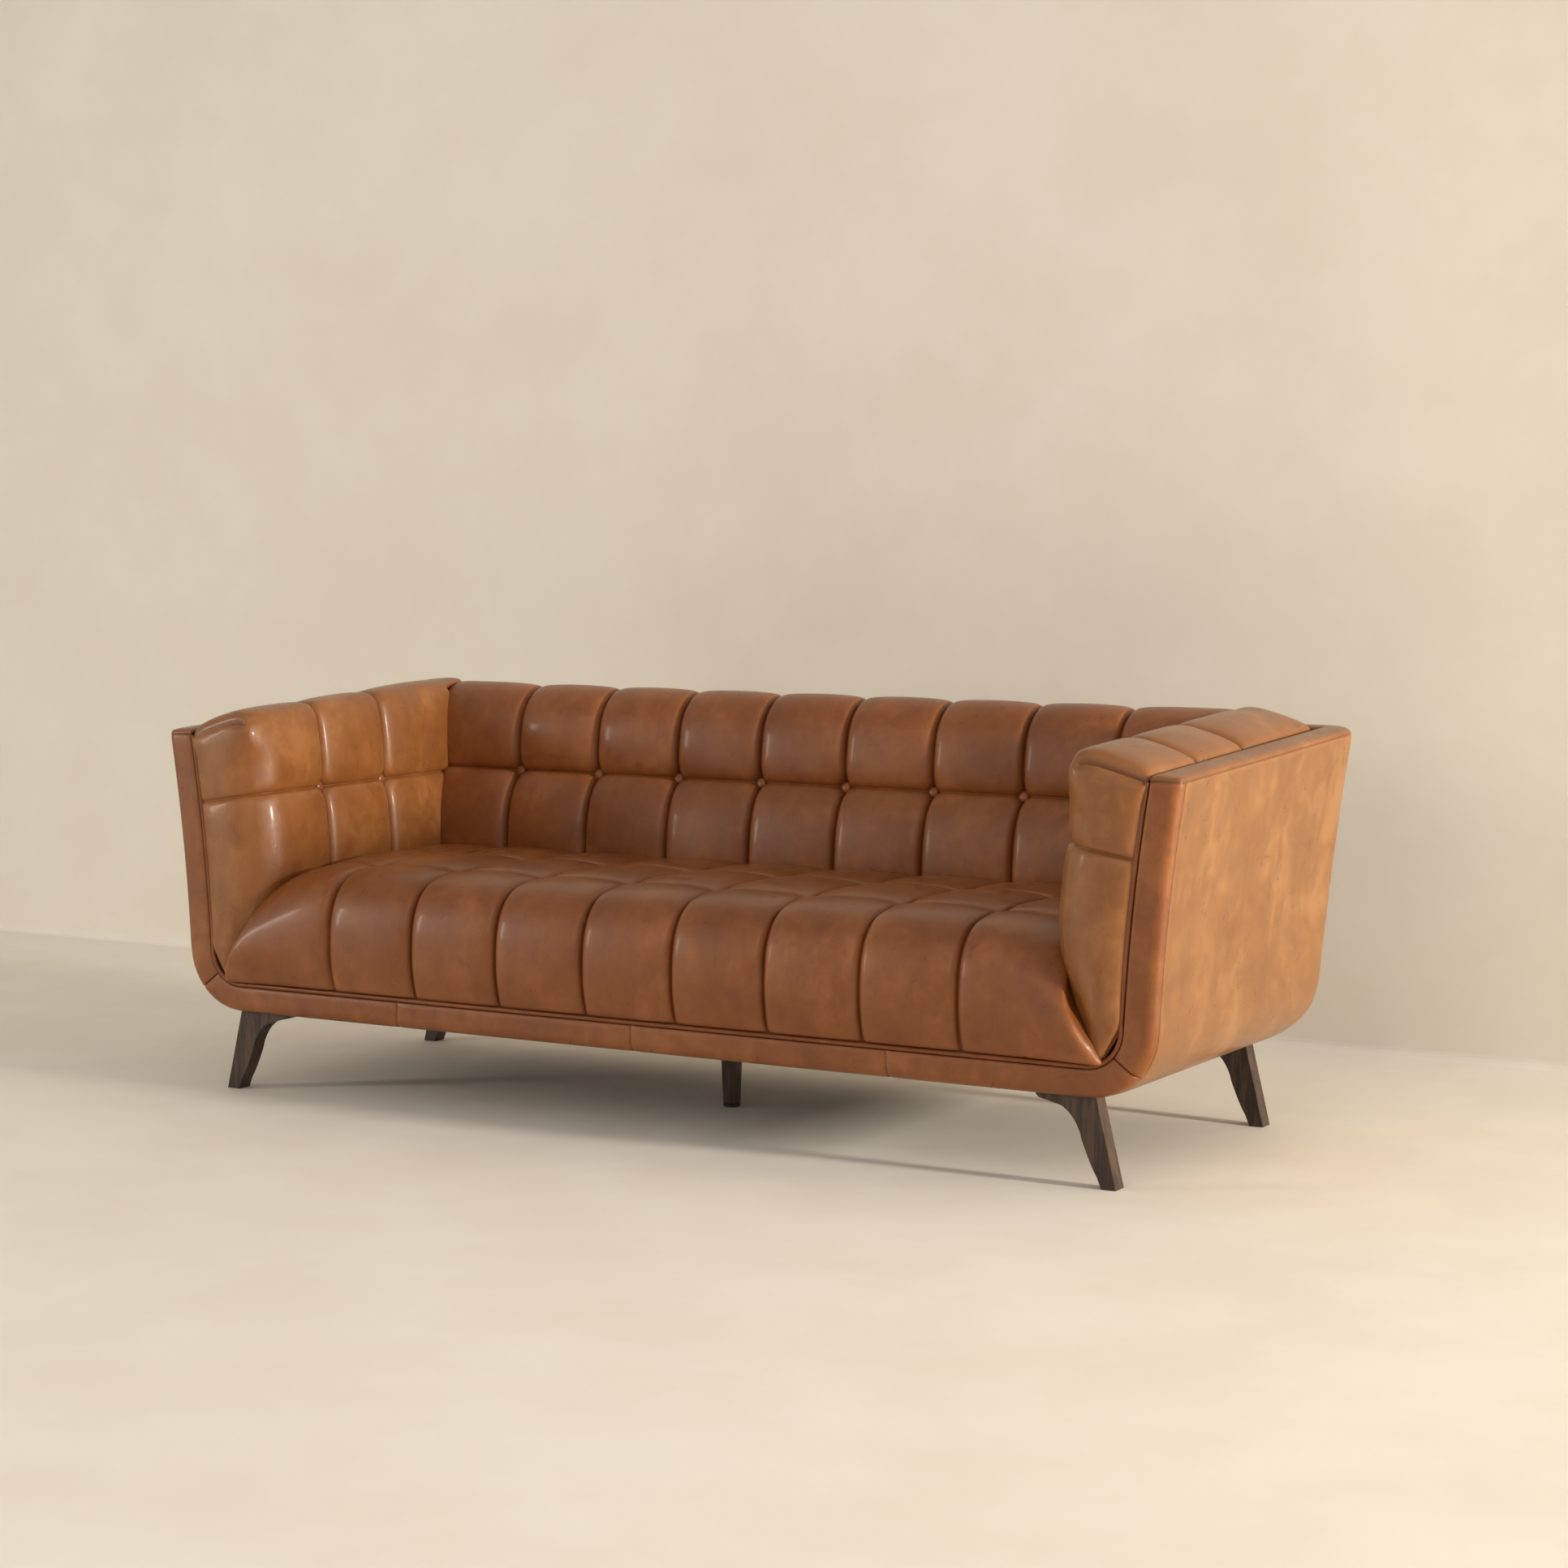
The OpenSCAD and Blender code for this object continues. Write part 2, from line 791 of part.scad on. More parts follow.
module front_rail() {
    color(TIMBER)
        block(clear - block_x0, block_x0 - clear, cover_t + clear, cover_t + rail_t, base_z, rail_z);
}

module rear_rail() {
    color(TIMBER)
        difference() {
            block(-block_x1, block_x1, rear_rail_u, rear_flat - clear, base_z, rail_z);
            leg_bolt_holes(bolt_d + 0.4);
        }
}

module end_rail(side) {
    color(TIMBER)
        on_side(side)
            block(block_x1 - rail_t, block_x1, front_block_u + block_d, rear_rail_u - block_d,
                base_z, rail_z);
}
module end_rail_left() { end_rail(-1); }
module end_rail_right() { end_rail(1); }

module joist(x, w) {
    block(x - w / 2, x + w / 2, cover_t + rail_t, rear_rail_u, base_z, base_z + joist_h);
}

module centre_joist() {
    color(TIMBER)
        difference() {
            joist(0, joist_w);
            translate([0, mid_leg_y, 0])
                cylinder(h = base_z + stud_grip + 1, d = glide_screw_d + 0.4);
        }
}

joist_x = (block_x0 - joist_w / 2) / 2 + joist_w / 4;

module side_joists() {
    color(TIMBER)
        for (side = [-1, 1])
            on_side(side)
                joist(joist_x, rail_t);
}

module corner_blocks() {
    color(TIMBER)
        difference() {
            for (side = [-1, 1])
                on_side(side) {
                    block(block_x0, block_x1, front_block_u, front_block_u + block_d, base_z, rail_z);
                    block(block_x0, block_x1, rear_rail_u - block_d, rear_rail_u, base_z, rail_z);
                }
            leg_bolt_holes(bolt_d + 0.4);
        }
}

// Profile-cut rib of one wall, with a foot that reaches in to foot_x over the base
module rib(u, foot_x) {
    top = rim_z(u) - cover_t - arm_rail_h - 1;
    outer = half_outline(cover_t + clear, cover_t + clear, top);
    inner = half_outline(frame_ex, frame_ez, top);
    run_back(u, u + rib_t)
        union() {
            polygon(concat(outer, reversed(inner)));
            translate([foot_x, base_z])
                square([corner_x - foot_x - clear, frame_ez - dust_t]);
            translate([corner_x - clear, leg_h + cover_t + clear])
                square([5, frame_ez - cover_t - clear]);
        }
}

module front_rib(side) {
    color(PLYWOOD)
        on_side(side)
            rib(cover_t + clear, block_x0);
}
module front_rib_left() { front_rib(-1); }
module front_rib_right() { front_rib(1); }

module arm_ribs(side) {
    color(PLYWOOD)
        on_side(side)
            for (i = [1 : 3])
                rib(front_block_u + (rear_rail_u - front_block_u - rib_t) * i / 3, block_x1 + clear);
}
module arm_ribs_left() { arm_ribs(-1); }
module arm_ribs_right() { arm_ribs(1); }

module arm_rail(side) {
    color(TIMBER)
        on_side(side)
            intersection() {
                rim_band(cover_t, frame_ex - cover_t, cover_t + 1, cover_t + arm_rail_h);
                block(0, sofa_w, cover_t + clear, tub_d - frame_ex - clear, 0, tall);
            }
}
module arm_rail_left() { arm_rail(-1); }
module arm_rail_right() { arm_rail(1); }

// Thin board bent over the inner edges of the ribs
module arm_liner(side) {
    top = rim_z(0) - cover_t - arm_rail_h;
    outer = half_outline(frame_ex + clear, frame_ez + clear, top);
    inner = half_outline(frame_ex + clear + liner_t, frame_ez + clear + liner_t, top);
    color(PLYWOOD)
        on_side(side)
            run_back(cover_t + clear, rear_low - frame_ex - web_t - 2)
                polygon(concat(outer, reversed(inner)));
}
module arm_liner_left() { arm_liner(-1); }
module arm_liner_right() { arm_liner(1); }

back_post_top = rim_z(tub_d - frame_ex) - cover_t - back_rail_h - 1;
cross_rail_z = rail_z + 40;

module back_post(x) {
    run_across(x - rail_t / 2, x + rail_t / 2)
        polygon(concat(
            rear_outline(cover_t + clear, back_post_top),
            reversed(rear_curve(frame_ex, deck_z - 1, back_post_top)),
            [[rear_flat, rail_z]]
        ));
}

outer_post_x = block_x1 - rail_t / 2;
post_xs = [-outer_post_x, -post_x, post_x, outer_post_x];

module back_posts() {
    color(TIMBER)
        for (x = post_xs)
            back_post(x);
}

module back_top_rail() {
    color(TIMBER)
        intersection() {
            rim_band(cover_t, frame_ex - cover_t, cover_t + 1, cover_t + back_rail_h);
            block(-sofa_w, sofa_w, tub_d - frame_ex, 2 * tub_d, 0, tall);
        }
}

module back_cross_rails() {
    color(TIMBER)
        for (i = [0 : 2])
            run_across(post_xs[i] + rail_t / 2, post_xs[i + 1] - rail_t / 2)
                polygon(concat(
                    rear_curve(cover_t + 6, cross_rail_z, cross_rail_z + rail_h * 0.6),
                    reversed(rear_curve(frame_ex, cross_rail_z, cross_rail_z + rail_h * 0.6))
                ));
}

module back_webbing() {
    low = cross_rail_z + 6;
    step = (back_post_top - web_w - low - 4) / 4;
    color(WEBBING)
        for (i = [0 : 4])
            let (z0 = low + step * i)
                run_across(-outer_post_x - rail_t / 2, outer_post_x + rail_t / 2)
                    polygon(concat(
                        rear_curve(frame_ex + clear, z0, z0 + web_w),
                        reversed(rear_curve(frame_ex + clear + web_t, z0, z0 + web_w))
                    ));
}

// ---- Suspension ----

bay_w = joist_x;
spring_step = bay_w / springs_per_bay;
spring_xs = [for (b = [-2 : 1], i = [0 : springs_per_bay - 1]) bay_w * b + spring_step * (i + 0.5)];

// A serpentine spring laid flat: one wire of even thickness that swings from side to side
swing_path = [[1, 0.08], [1, 0.42], [-1, 0.58], [-1, 0.92]];
function swing(i, turns, l) =
    let (q = swing_path[i % 4])
    [q[0] * (spring_w - wire_d) / 2, l * (floor(i / 4) + q[1]) / turns];
function wire_side(p, s) =
    [for (i = [0 : len(p) - 1]) let (
        a = p[max(0, i - 1)], b = p[min(len(p) - 1, i + 1)], d = (b - a) / norm(b - a)
    ) p[i] + [-d[1], d[0]] * s * wire_d / 2];

module seat_springs() {
    l = spring_u1 - spring_u0;
    turns = floor(l / spring_pitch);
    path = [for (i = [0 : 4 * turns - 1]) swing(i, turns, l)];
    color(STEEL)
        for (x = spring_xs)
            translate([x, front_y + spring_u0, rail_z + 2])
                linear_extrude(wire_d)
                    polygon(concat(wire_side(path, -1), reversed(wire_side(path, 1))));
}

// C-shaped clips that hold the spring ends on the front and rear rails
module clip(x, u, turn) {
    translate([x, front_y + u, rail_z])
        rotate([0, 0, turn])
            difference() {
                translate([-12, -6, 0])
                    cube([24, 14, wire_d + 4]);
                translate([-13, -4, 1.5])
                    cube([26, 20, wire_d + 1]);
            }
}

module spring_clips() {
    color(STEEL)
        for (x = spring_xs) {
            clip(x, spring_u0 - 2, 0);
            clip(x, spring_u1 + 2, 180);
        }
}

module spring_tie_rods() {
    color(STEEL)
        for (t = [1, 2])
            peg_x(-bay_w * 2, bay_w * 2, spring_u0 + (spring_u1 - spring_u0) * t / 3,
                rail_z + 2 + wire_d + 2, 3.6);
}

module deck_cloth() {
    color(BURLAP)
        block(-block_x1, block_x1, cover_t + clear, seat_back_y + 40,
            deck_z - deck_t - 0.3, deck_z - 0.3);
}

// ---- Legs ----

leg_x1 = low_half - leg_inset_x;
leg_x0 = leg_x1 - leg_top_l;
rear_leg_u = rear_flat - leg_t;
leg_us = [leg_inset_y, rear_leg_u];
bolt_xs = [leg_x0 + 24, leg_x0 + 64];
mid_leg_y = front_y + (cover_t + rear_flat) / 2;
stud_grip = 40;

// Plank leg from the front: a straight outer edge, and an inner edge that sweeps into the top flange
function leg_outline() =
    let (foot = leg_x1 + leg_splay) concat(
        [[foot - leg_foot_w, 0], [foot, 0], [leg_x1, leg_h], [leg_x0, leg_h]],
        [[leg_x0, leg_h - 5], [leg_x0 + 6, leg_h - 11]],
        quad([leg_x0 + 48, leg_h - 21], [leg_x1 - 44, leg_h - 32], [leg_x1 - 30, leg_h - 66], 8),
        quad([leg_x1 - 27, leg_h - 78], [leg_x1 - 9, leg_h - 124], [foot - leg_foot_w - 8, 20], 6)
    );

module leg(u) {
    difference() {
        run_back(u, u + leg_t)
            polygon(leg_outline());
        leg_bolt_holes(bolt_d + 0.8);
        for (x = bolt_xs)
            translate([x, front_y + u + leg_t / 2, -1])
                cylinder(h = leg_h - 7, d = bolt_d * 2 + 2);
    }
}

module leg_front_left() { color(WALNUT) on_side(-1) leg(leg_us[0]); }
module leg_front_right() { color(WALNUT) leg(leg_us[0]); }
module leg_rear_left() { color(WALNUT) on_side(-1) leg(leg_us[1]); }
module leg_rear_right() { color(WALNUT) leg(leg_us[1]); }

module leg_bolt_holes(d) {
    for (side = [-1, 1], u = leg_us, x = bolt_xs)
        translate([side * x, front_y + u + leg_t / 2, leg_h - 9])
            cylinder(h = bolt_grip + 11, d = d);
}

module leg_bolts() {
    color(STEEL)
        for (side = [-1, 1], u = leg_us, x = bolt_xs)
            translate([side * x, front_y + u + leg_t / 2, leg_h - 12.5]) {
                cylinder(h = 4, d = bolt_d * 2);
                cylinder(h = 12.5 + bolt_grip, d = bolt_d);
            }
}

mid_leg_z0 = glide_h + 1;
glide_top = mid_leg_z0 + glide_travel + 26;

module centre_leg() {
    color(WALNUT)
        translate([0, mid_leg_y, 0])
            difference() {
                translate([0, 0, mid_leg_z0])
                    cylinder(h = leg_h - mid_leg_z0, d1 = mid_leg_foot_d, d2 = mid_leg_top_d);
                cylinder(h = glide_top + 3, d = glide_screw_d + 0.1);
                translate([0, 0, leg_h - 40])
                    cylinder(h = 60, d = glide_screw_d + 0.4);
            }
}

// Double-ended stud that joins the middle leg to the centre joist
module centre_leg_stud() {
    color(STEEL)
        translate([0, mid_leg_y, leg_h - 38])
            cylinder(h = 38 + dust_t + stud_grip, d = glide_screw_d);
}

// Levelling foot on a screw, screwed in as far as it goes
module centre_leg_glide() {
    color(CLOTH)
        translate([0, mid_leg_y, 0]) {
            cylinder(h = 1.5, d1 = mid_leg_foot_d - 3, d2 = mid_leg_foot_d);
            translate([0, 0, 1.5])
                cylinder(h = glide_h - 1.5, d = mid_leg_foot_d);
            cylinder(h = glide_top, d = glide_screw_d);
        }
}

side_cover_left();
side_cover_right();
rear_cover();
front_facing_left();
front_facing_right();
front_facing_lower();
rim_facing_left();
rim_facing_right();
rim_facing_rear();
front_welt();
dust_cover();
seat_cover();
seat_foam();
back_cover();
back_foam();
arm_cover_left();
arm_cover_right();
arm_foam_left();
arm_foam_right();
back_buttons();
arm_buttons_left();
arm_buttons_right();
front_rail();
rear_rail();
end_rail_left();
end_rail_right();
centre_joist();
side_joists();
corner_blocks();
front_rib_left();
front_rib_right();
arm_ribs_left();
arm_ribs_right();
arm_rail_left();
arm_rail_right();
arm_liner_left();
arm_liner_right();
back_posts();
back_top_rail();
back_cross_rails();
back_webbing();
seat_springs();
spring_clips();
spring_tie_rods();
deck_cloth();
leg_front_left();
leg_front_right();
leg_rear_left();
leg_rear_right();
leg_bolts();
centre_leg();
centre_leg_stud();
centre_leg_glide();
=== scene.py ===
"""Three-seat tub sofa in tufted leather on splayed walnut legs: the looks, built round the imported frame.

Lengths are in metres. X runs across the sofa, Y from the front to the back and Z up. "Depth" in names and
comments is the distance behind the front face of the tub.
"""

import math

import bmesh
import bpy
from mathutils import Matrix, Vector, kdtree


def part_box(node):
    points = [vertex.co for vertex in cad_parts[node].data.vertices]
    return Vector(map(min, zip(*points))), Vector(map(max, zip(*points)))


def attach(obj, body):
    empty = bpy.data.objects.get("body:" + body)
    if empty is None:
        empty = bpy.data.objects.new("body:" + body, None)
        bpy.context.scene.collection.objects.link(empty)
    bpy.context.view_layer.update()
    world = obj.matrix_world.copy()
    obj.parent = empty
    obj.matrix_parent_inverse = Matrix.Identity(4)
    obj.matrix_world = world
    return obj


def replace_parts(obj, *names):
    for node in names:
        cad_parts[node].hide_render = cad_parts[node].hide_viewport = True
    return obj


bl_info = {
    "name": "Tufted tub sofa",
    "version": (1, 0, 0),
    "blender": (4, 5, 0),
    "location": "View3D > Sidebar > Sofa",
    "description": "Upholstery, legs, finishes and studio of a tufted three-seat tub sofa",
    "category": "Object",
}

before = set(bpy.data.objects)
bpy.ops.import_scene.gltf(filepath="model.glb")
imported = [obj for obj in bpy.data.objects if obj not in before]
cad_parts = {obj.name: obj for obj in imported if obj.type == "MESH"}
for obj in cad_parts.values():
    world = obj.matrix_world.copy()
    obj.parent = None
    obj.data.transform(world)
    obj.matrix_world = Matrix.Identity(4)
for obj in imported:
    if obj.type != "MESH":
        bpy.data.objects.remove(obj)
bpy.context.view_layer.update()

# Places of the tub that every piece keeps to, taken from the frame
FRONT_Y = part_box("front_facing_right")[0].y
TUB_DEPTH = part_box("rear_cover")[1].y - FRONT_Y
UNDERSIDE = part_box("front_facing_lower")[0].z
RIM_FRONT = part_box("front_facing_right")[1].z
TOP_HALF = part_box("front_facing_right")[1].x
REAR_SEAM_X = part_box("rear_cover")[1].x

LEATHER_THICK = 0.006
SEAM_WIDTH = 0.0045  # width of the groove that a stitched seam presses into the leather
POCKET_R = 0.036
SEAT_HALF = 0.860  # half the seat's and the back's nominal lengths, before the ends are fitted to the arms
BACK_HALF = 0.862
BUTTON_SINK = 0.0045
BUTTON_RISE = 0.0062
PANEL_ROWS = (0.002, 0.006, 0.012)
CLOTH = {
    "quality": 5,
    "mass": 0.3,
    "tension_stiffness": 15,
    "compression_stiffness": 10,
    "shear_stiffness": 5,
    "bending_stiffness": 1.5,
    "tension_damping": 10,
    "air_damping": 2,
    "use_pressure": True,
    "uniform_pressure_force": 2.0,
    "vertex_group_mass": "held",
}


# ---- Sizes and colours that a user would change ----


def size(name, default, description):
    """A length shown in metres."""
    return bpy.props.FloatProperty(
        name=name, default=default, description=description, min=0.0, unit="LENGTH", precision=4
    )


def share(name, default, description):
    """A plain factor."""
    return bpy.props.FloatProperty(name=name, default=default, description=description, min=0.0)


def tint(name, default, description):
    """A linear colour."""
    return bpy.props.FloatVectorProperty(
        name=name, default=default, description=description, subtype="COLOR", size=3, min=0.0, max=1.0
    )


class SofaTub(bpy.types.PropertyGroup):
    """Curves of the tub, the same ones that its frame is cut to."""

    corner_r: size("Bottom corner", 0.124, "Radius of the bottom corners at the sides")
    flare_bow: share("Flare bow", 0.58, "Share of the arm's lean that comes as a curve")
    rim_rise: size("Rim rise", 0.036, "How far the rim rises from the front to the rear")
    rear_r: size("Rear corner", 0.078, "Radius of the bottom corner at the rear")
    back_lean: size("Back lean", 0.031, "How far the rear face leans out above its bottom corner")
    lean_h: size("Lean height", 0.36, "Height over which the rear face leans")
    post_r: size("Post corner", 0.06, "Radius of the upright rear corners, seen from above")
    facing_w: size("Facing width", 0.058, "Width of the front facing beside the arms")
    facing_low: size("Facing height", 0.05, "Height of the front facing under the seat")
    edge_r: size("Edge rounding", 0.016, "Rounding of the facing's and the rim's outer edges")
    edge_back: size("Seam behind edge", 0.02, "Distance of the outer seams from the rounded edges")


class SofaPadding(bpy.types.PropertyGroup):
    """Shape of the padded pieces."""

    seat_crown: size("Seat crown", 0.016, "Height of the seat panels between their seams")
    back_crown: size("Back crown", 0.0165, "Height of the back panels between their seams")
    arm_crown: size("Arm crown", 0.020, "Height of the arm panels between their seams")
    seat_top: size("Seat height", 0.449, "Height of the seat's lengthwise seams above the floor")
    tuft_z: size("Button height", 0.61, "Height of the back buttons above the floor")
    arm_tuft_z: size("Arm button height", 0.6, "Height of the arm buttons above the floor")
    pitch: size("Panel pitch", 0.1975, "Width of the panels between the end panels")
    groove: size("Groove", 0.0042, "Depth of the stitched grooves below the panels' edges")
    pocket: size("Button pocket", 0.011, "Depth of the pockets that the buttons are pulled into")
    step: size("Mesh step", 0.0125, "Largest distance between rows of a padded piece")
    button_r: size("Button radius", 0.011, "Radius of the covered buttons")
    welt_r: size("Welt radius", 0.0045, "Radius of the welt cord")


class SofaFinish(bpy.types.PropertyGroup):
    """Colours of the finishes."""

    leather: tint("Leather", (0.232, 0.070, 0.0150), "Base colour of the waxed leather")
    leather_light: tint("Light patches", (0.322, 0.108, 0.028), "Colour where the leather is pulled")
    # The dark colour also paints the shade into the folds and seam grooves of the padded leather.
    leather_dark: tint("Dark patches", (0.125, 0.030, 0.006), "Colour of the burnished patches and folds")
    walnut: tint("Walnut", (0.085, 0.043, 0.025), "Base colour of the stained legs")
    walnut_dark: tint("Walnut grain", (0.028, 0.014, 0.009), "Colour of the dark grain")
    plaster: tint("Wall", (0.80, 0.745, 0.655), "Colour of the wall")
    floor: tint("Floor", (0.84, 0.795, 0.71), "Colour of the floor")


# ---- Outline of the tub ----


def tub():
    return bpy.context.scene.sofa_tub


def pads():
    return bpy.context.scene.sofa_padding


def finish():
    return bpy.context.scene.sofa_finish


def mix(a, b, t):
    return a + (b - a) * t


def ramp(x, low, high):
    """Smooth step from 0 at low to 1 at high."""
    t = min(1.0, max(0.0, (x - low) / (high - low)))
    return t * t * (3 - 2 * t)


def row(x, depth, z):
    """A place given by its distance behind the tub's front face."""
    return Vector((x, FRONT_Y + depth, z))


def corner_top():
    return UNDERSIDE + tub().corner_r


def half_width(z):
    """Half the tub's width at a height."""
    low_half = REAR_SEAM_X + tub().corner_r
    if z < corner_top():
        drop = min(corner_top() - z, tub().corner_r)
        return REAR_SEAM_X + math.sqrt(tub().corner_r**2 - drop**2)
    t = (z - corner_top()) / (RIM_FRONT - corner_top())
    bow = tub().flare_bow
    return low_half + (TOP_HALF - low_half) * ((1 - bow) * t + bow * t * t)


def rear_depth(z):
    """Distance of the rear face behind the front face at a height."""
    rear_top = UNDERSIDE + tub().rear_r
    rear_low = TUB_DEPTH - tub().back_lean
    if z < rear_top:
        drop = min(rear_top - z, tub().rear_r)
        return rear_low - tub().rear_r + math.sqrt(tub().rear_r**2 - drop**2)
    t = min(1.0, (z - rear_top) / tub().lean_h)
    return rear_low + tub().back_lean * t * (2 - t)


def rim_rise(depth):
    """How far the rim has risen at a distance behind the front face."""
    return tub().rim_rise * min(depth, TUB_DEPTH) / TUB_DEPTH


class Line:
    """A smooth line through a few points of any dimension, measured along its length."""

    def __init__(self, points, smooth=True, steps=14):
        points = [Vector(p) for p in points]
        self.points = self.curve(points, steps) if smooth else points
        self.at = [0.0]
        for a, b in zip(self.points, self.points[1:]):
            self.at.append(self.at[-1] + (b - a).length)
        self.length = self.at[-1]

    @staticmethod
    def curve(points, steps):
        """Catmull-Rom curve through the points, with its ends carried on straight."""
        ends = [points[0] * 2 - points[1], *points, points[-1] * 2 - points[-2]]
        made = []
        for a, b, c, d in zip(ends, ends[1:], ends[2:], ends[3:]):
            for i in range(steps):
                t = i / steps
                low = b * 2 + (c - a) * t
                high = (a * 2 - b * 5 + c * 4 - d) * t**2 + (b * 3 - a - c * 3 + d) * t**3
                made.append((low + high) / 2)
        return [*made, points[-1]]

    def index(self, along):
        low, high = 0, len(self.at) - 2
        while low < high:
            middle = (low + high + 1) // 2
            low, high = (middle, high) if self.at[middle] <= along else (low, middle - 1)
        return low

    def point(self, along):
        i = self.index(along)
        span = self.at[i + 1] - self.at[i]
        t = (along - self.at[i]) / span if span else 0.0
        return self.points[i].lerp(self.points[i + 1], t)

    def heading(self, along, reach=0.004):
        a = self.point(max(0.0, along - reach))
        b = self.point(min(self.length, along + reach))
        return (b - a).normalized()

    def where(self, test):
        """Distance along the line at which test first holds."""
        for point, along in zip(self.points, self.at):
            if test(point):
                return along
        raise ValueError("the line never reaches that place")


def arc(centre, radius, start, end, steps=10):
    """Points on an arc, with its angles in degrees."""
    turns = [math.radians(mix(start, end, i / steps)) for i in range(steps + 1)]
    return [(centre[0] + radius * math.cos(a), centre[1] + radius * math.sin(a)) for a in turns]


# ---- Mesh building ----


def rows(length, seams=(), step=0.0125, fine=(0.0025, 0.0065, 0.0125), ends=True):
    """Places of mesh rows along a length: close together beside the seams and the ends, wider between."""
    marks = {0.0, length, *seams}
    for seam in [*seams, *((0.0, length) if ends else ())]:
        marks |= {seam + side * gap for side in (-1, 1) for gap in fine}
    marks = sorted(m for m in marks if -1e-9 <= m <= length + 1e-9)
    kept = [marks[0]]
    for mark in marks[1:]:
        if mark - kept[-1] > 0.0008:
            count = max(1, math.ceil((mark - kept[-1]) / step))
            start = kept[-1]
            kept += [mix(start, mark, (i + 1) / count) for i in range(count)]
    return kept


def slab(across, along, through=(0.0, 1.0)):
    """A closed block with rows at the given places, its vertices holding (across, along, through)."""
    mesh = bmesh.new()
    nx, ny = len(across) - 1, len(along) - 1
    bmesh.ops.create_grid(mesh, x_segments=nx, y_segments=ny, size=1)
    for v in mesh.verts:
        i, j = round((v.co.x + 1) / 2 * nx), round((v.co.y + 1) / 2 * ny)
        v.co = (across[i], along[j], through[0])
    lid = mesh.faces[:]
    for k, height in enumerate(through[1:]):
        made = bmesh.ops.extrude_face_region(mesh, geom=lid)["geom"]
        if k:
            bmesh.ops.delete(mesh, geom=lid, context="FACES")
        lid = [g for g in made if isinstance(g, bmesh.types.BMFace)]
        raised = [g for g in made if isinstance(g, bmesh.types.BMVert)]
        bmesh.ops.translate(mesh, vec=(0, 0, height - through[k]), verts=raised)
    return mesh


def thin_underside(mesh, span=0.12):
    """Joins the hidden faces of a block's underside into strips of a limited length."""
    spare = []
    for edge in mesh.edges:
        a, b = edge.verts
        crosswise, raised = abs(a.co.x - b.co.x) > 1e-7, max(a.co.z, b.co.z) > 1e-7
        if crosswise or raised or any(abs(f.normal.z) < 0.5 for f in edge.link_faces):
            continue
        if len({int(f.calc_center_median().x / span) for f in edge.link_faces}) == 1:
            spare.append(edge)
    bmesh.ops.dissolve_edges(mesh, edges=spare, use_verts=True)


def face_out(mesh):
    """Turns the faces of a closed mesh outward."""
    bmesh.ops.recalc_face_normals(mesh, faces=mesh.faces[:])
    if mesh.calc_volume(signed=True) < 0:
        bmesh.ops.reverse_faces(mesh, faces=mesh.faces[:])


def new_object(name, data):
    """A new object in the scene."""
    made = bpy.data.objects.new(name, data)
    bpy.context.scene.collection.objects.link(made)
    return made


def as_object(name, mesh, material, body="sofa"):
    """Turns a bmesh into a piece that rides on a body."""
    data = bpy.data.meshes.new(name)
    mesh.to_mesh(data)
    mesh.free()
    for polygon in data.polygons:
        polygon.use_smooth = True
    data.materials.append(material)
    piece = new_object(name, data)
    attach(piece, body)
    return piece


def rise(distance, reach, tight=0.017, share=0.58):
    """How a panel rises from its seam: most of it in a tight roll at the seam, the rest in a wide crown."""
    roll = math.sqrt(max(0.0, 1 - (1 - min(1.0, distance / min(tight, reach))) ** 2.2))
    return share * roll + (1 - share) * math.sqrt(max(0.0, 1 - (1 - min(1.0, distance / reach)) ** 2))


class Seam:
    """A family of seams: which vertices lie on it, how far it reaches and how hard it pulls the leather."""

    def __init__(self, on, reach, pull=1.0, sewn=True):
        self.on, self.reach, self.pull, self.sewn = on, reach, pull, sewn


def nearest(points):
    tree = kdtree.KDTree(len(points))
    for i, point in enumerate(points):
        tree.insert(point, i)
    tree.balance()
    return tree


def upper(s, t, d):
    """The visible side of a block."""
    return d > 0.5


def outline(across, along):
    """Tells which vertices lie on the borders of a block."""
    return lambda s, t, d: near(s, (0, across[-1])) or near(t, (0, along[-1]))


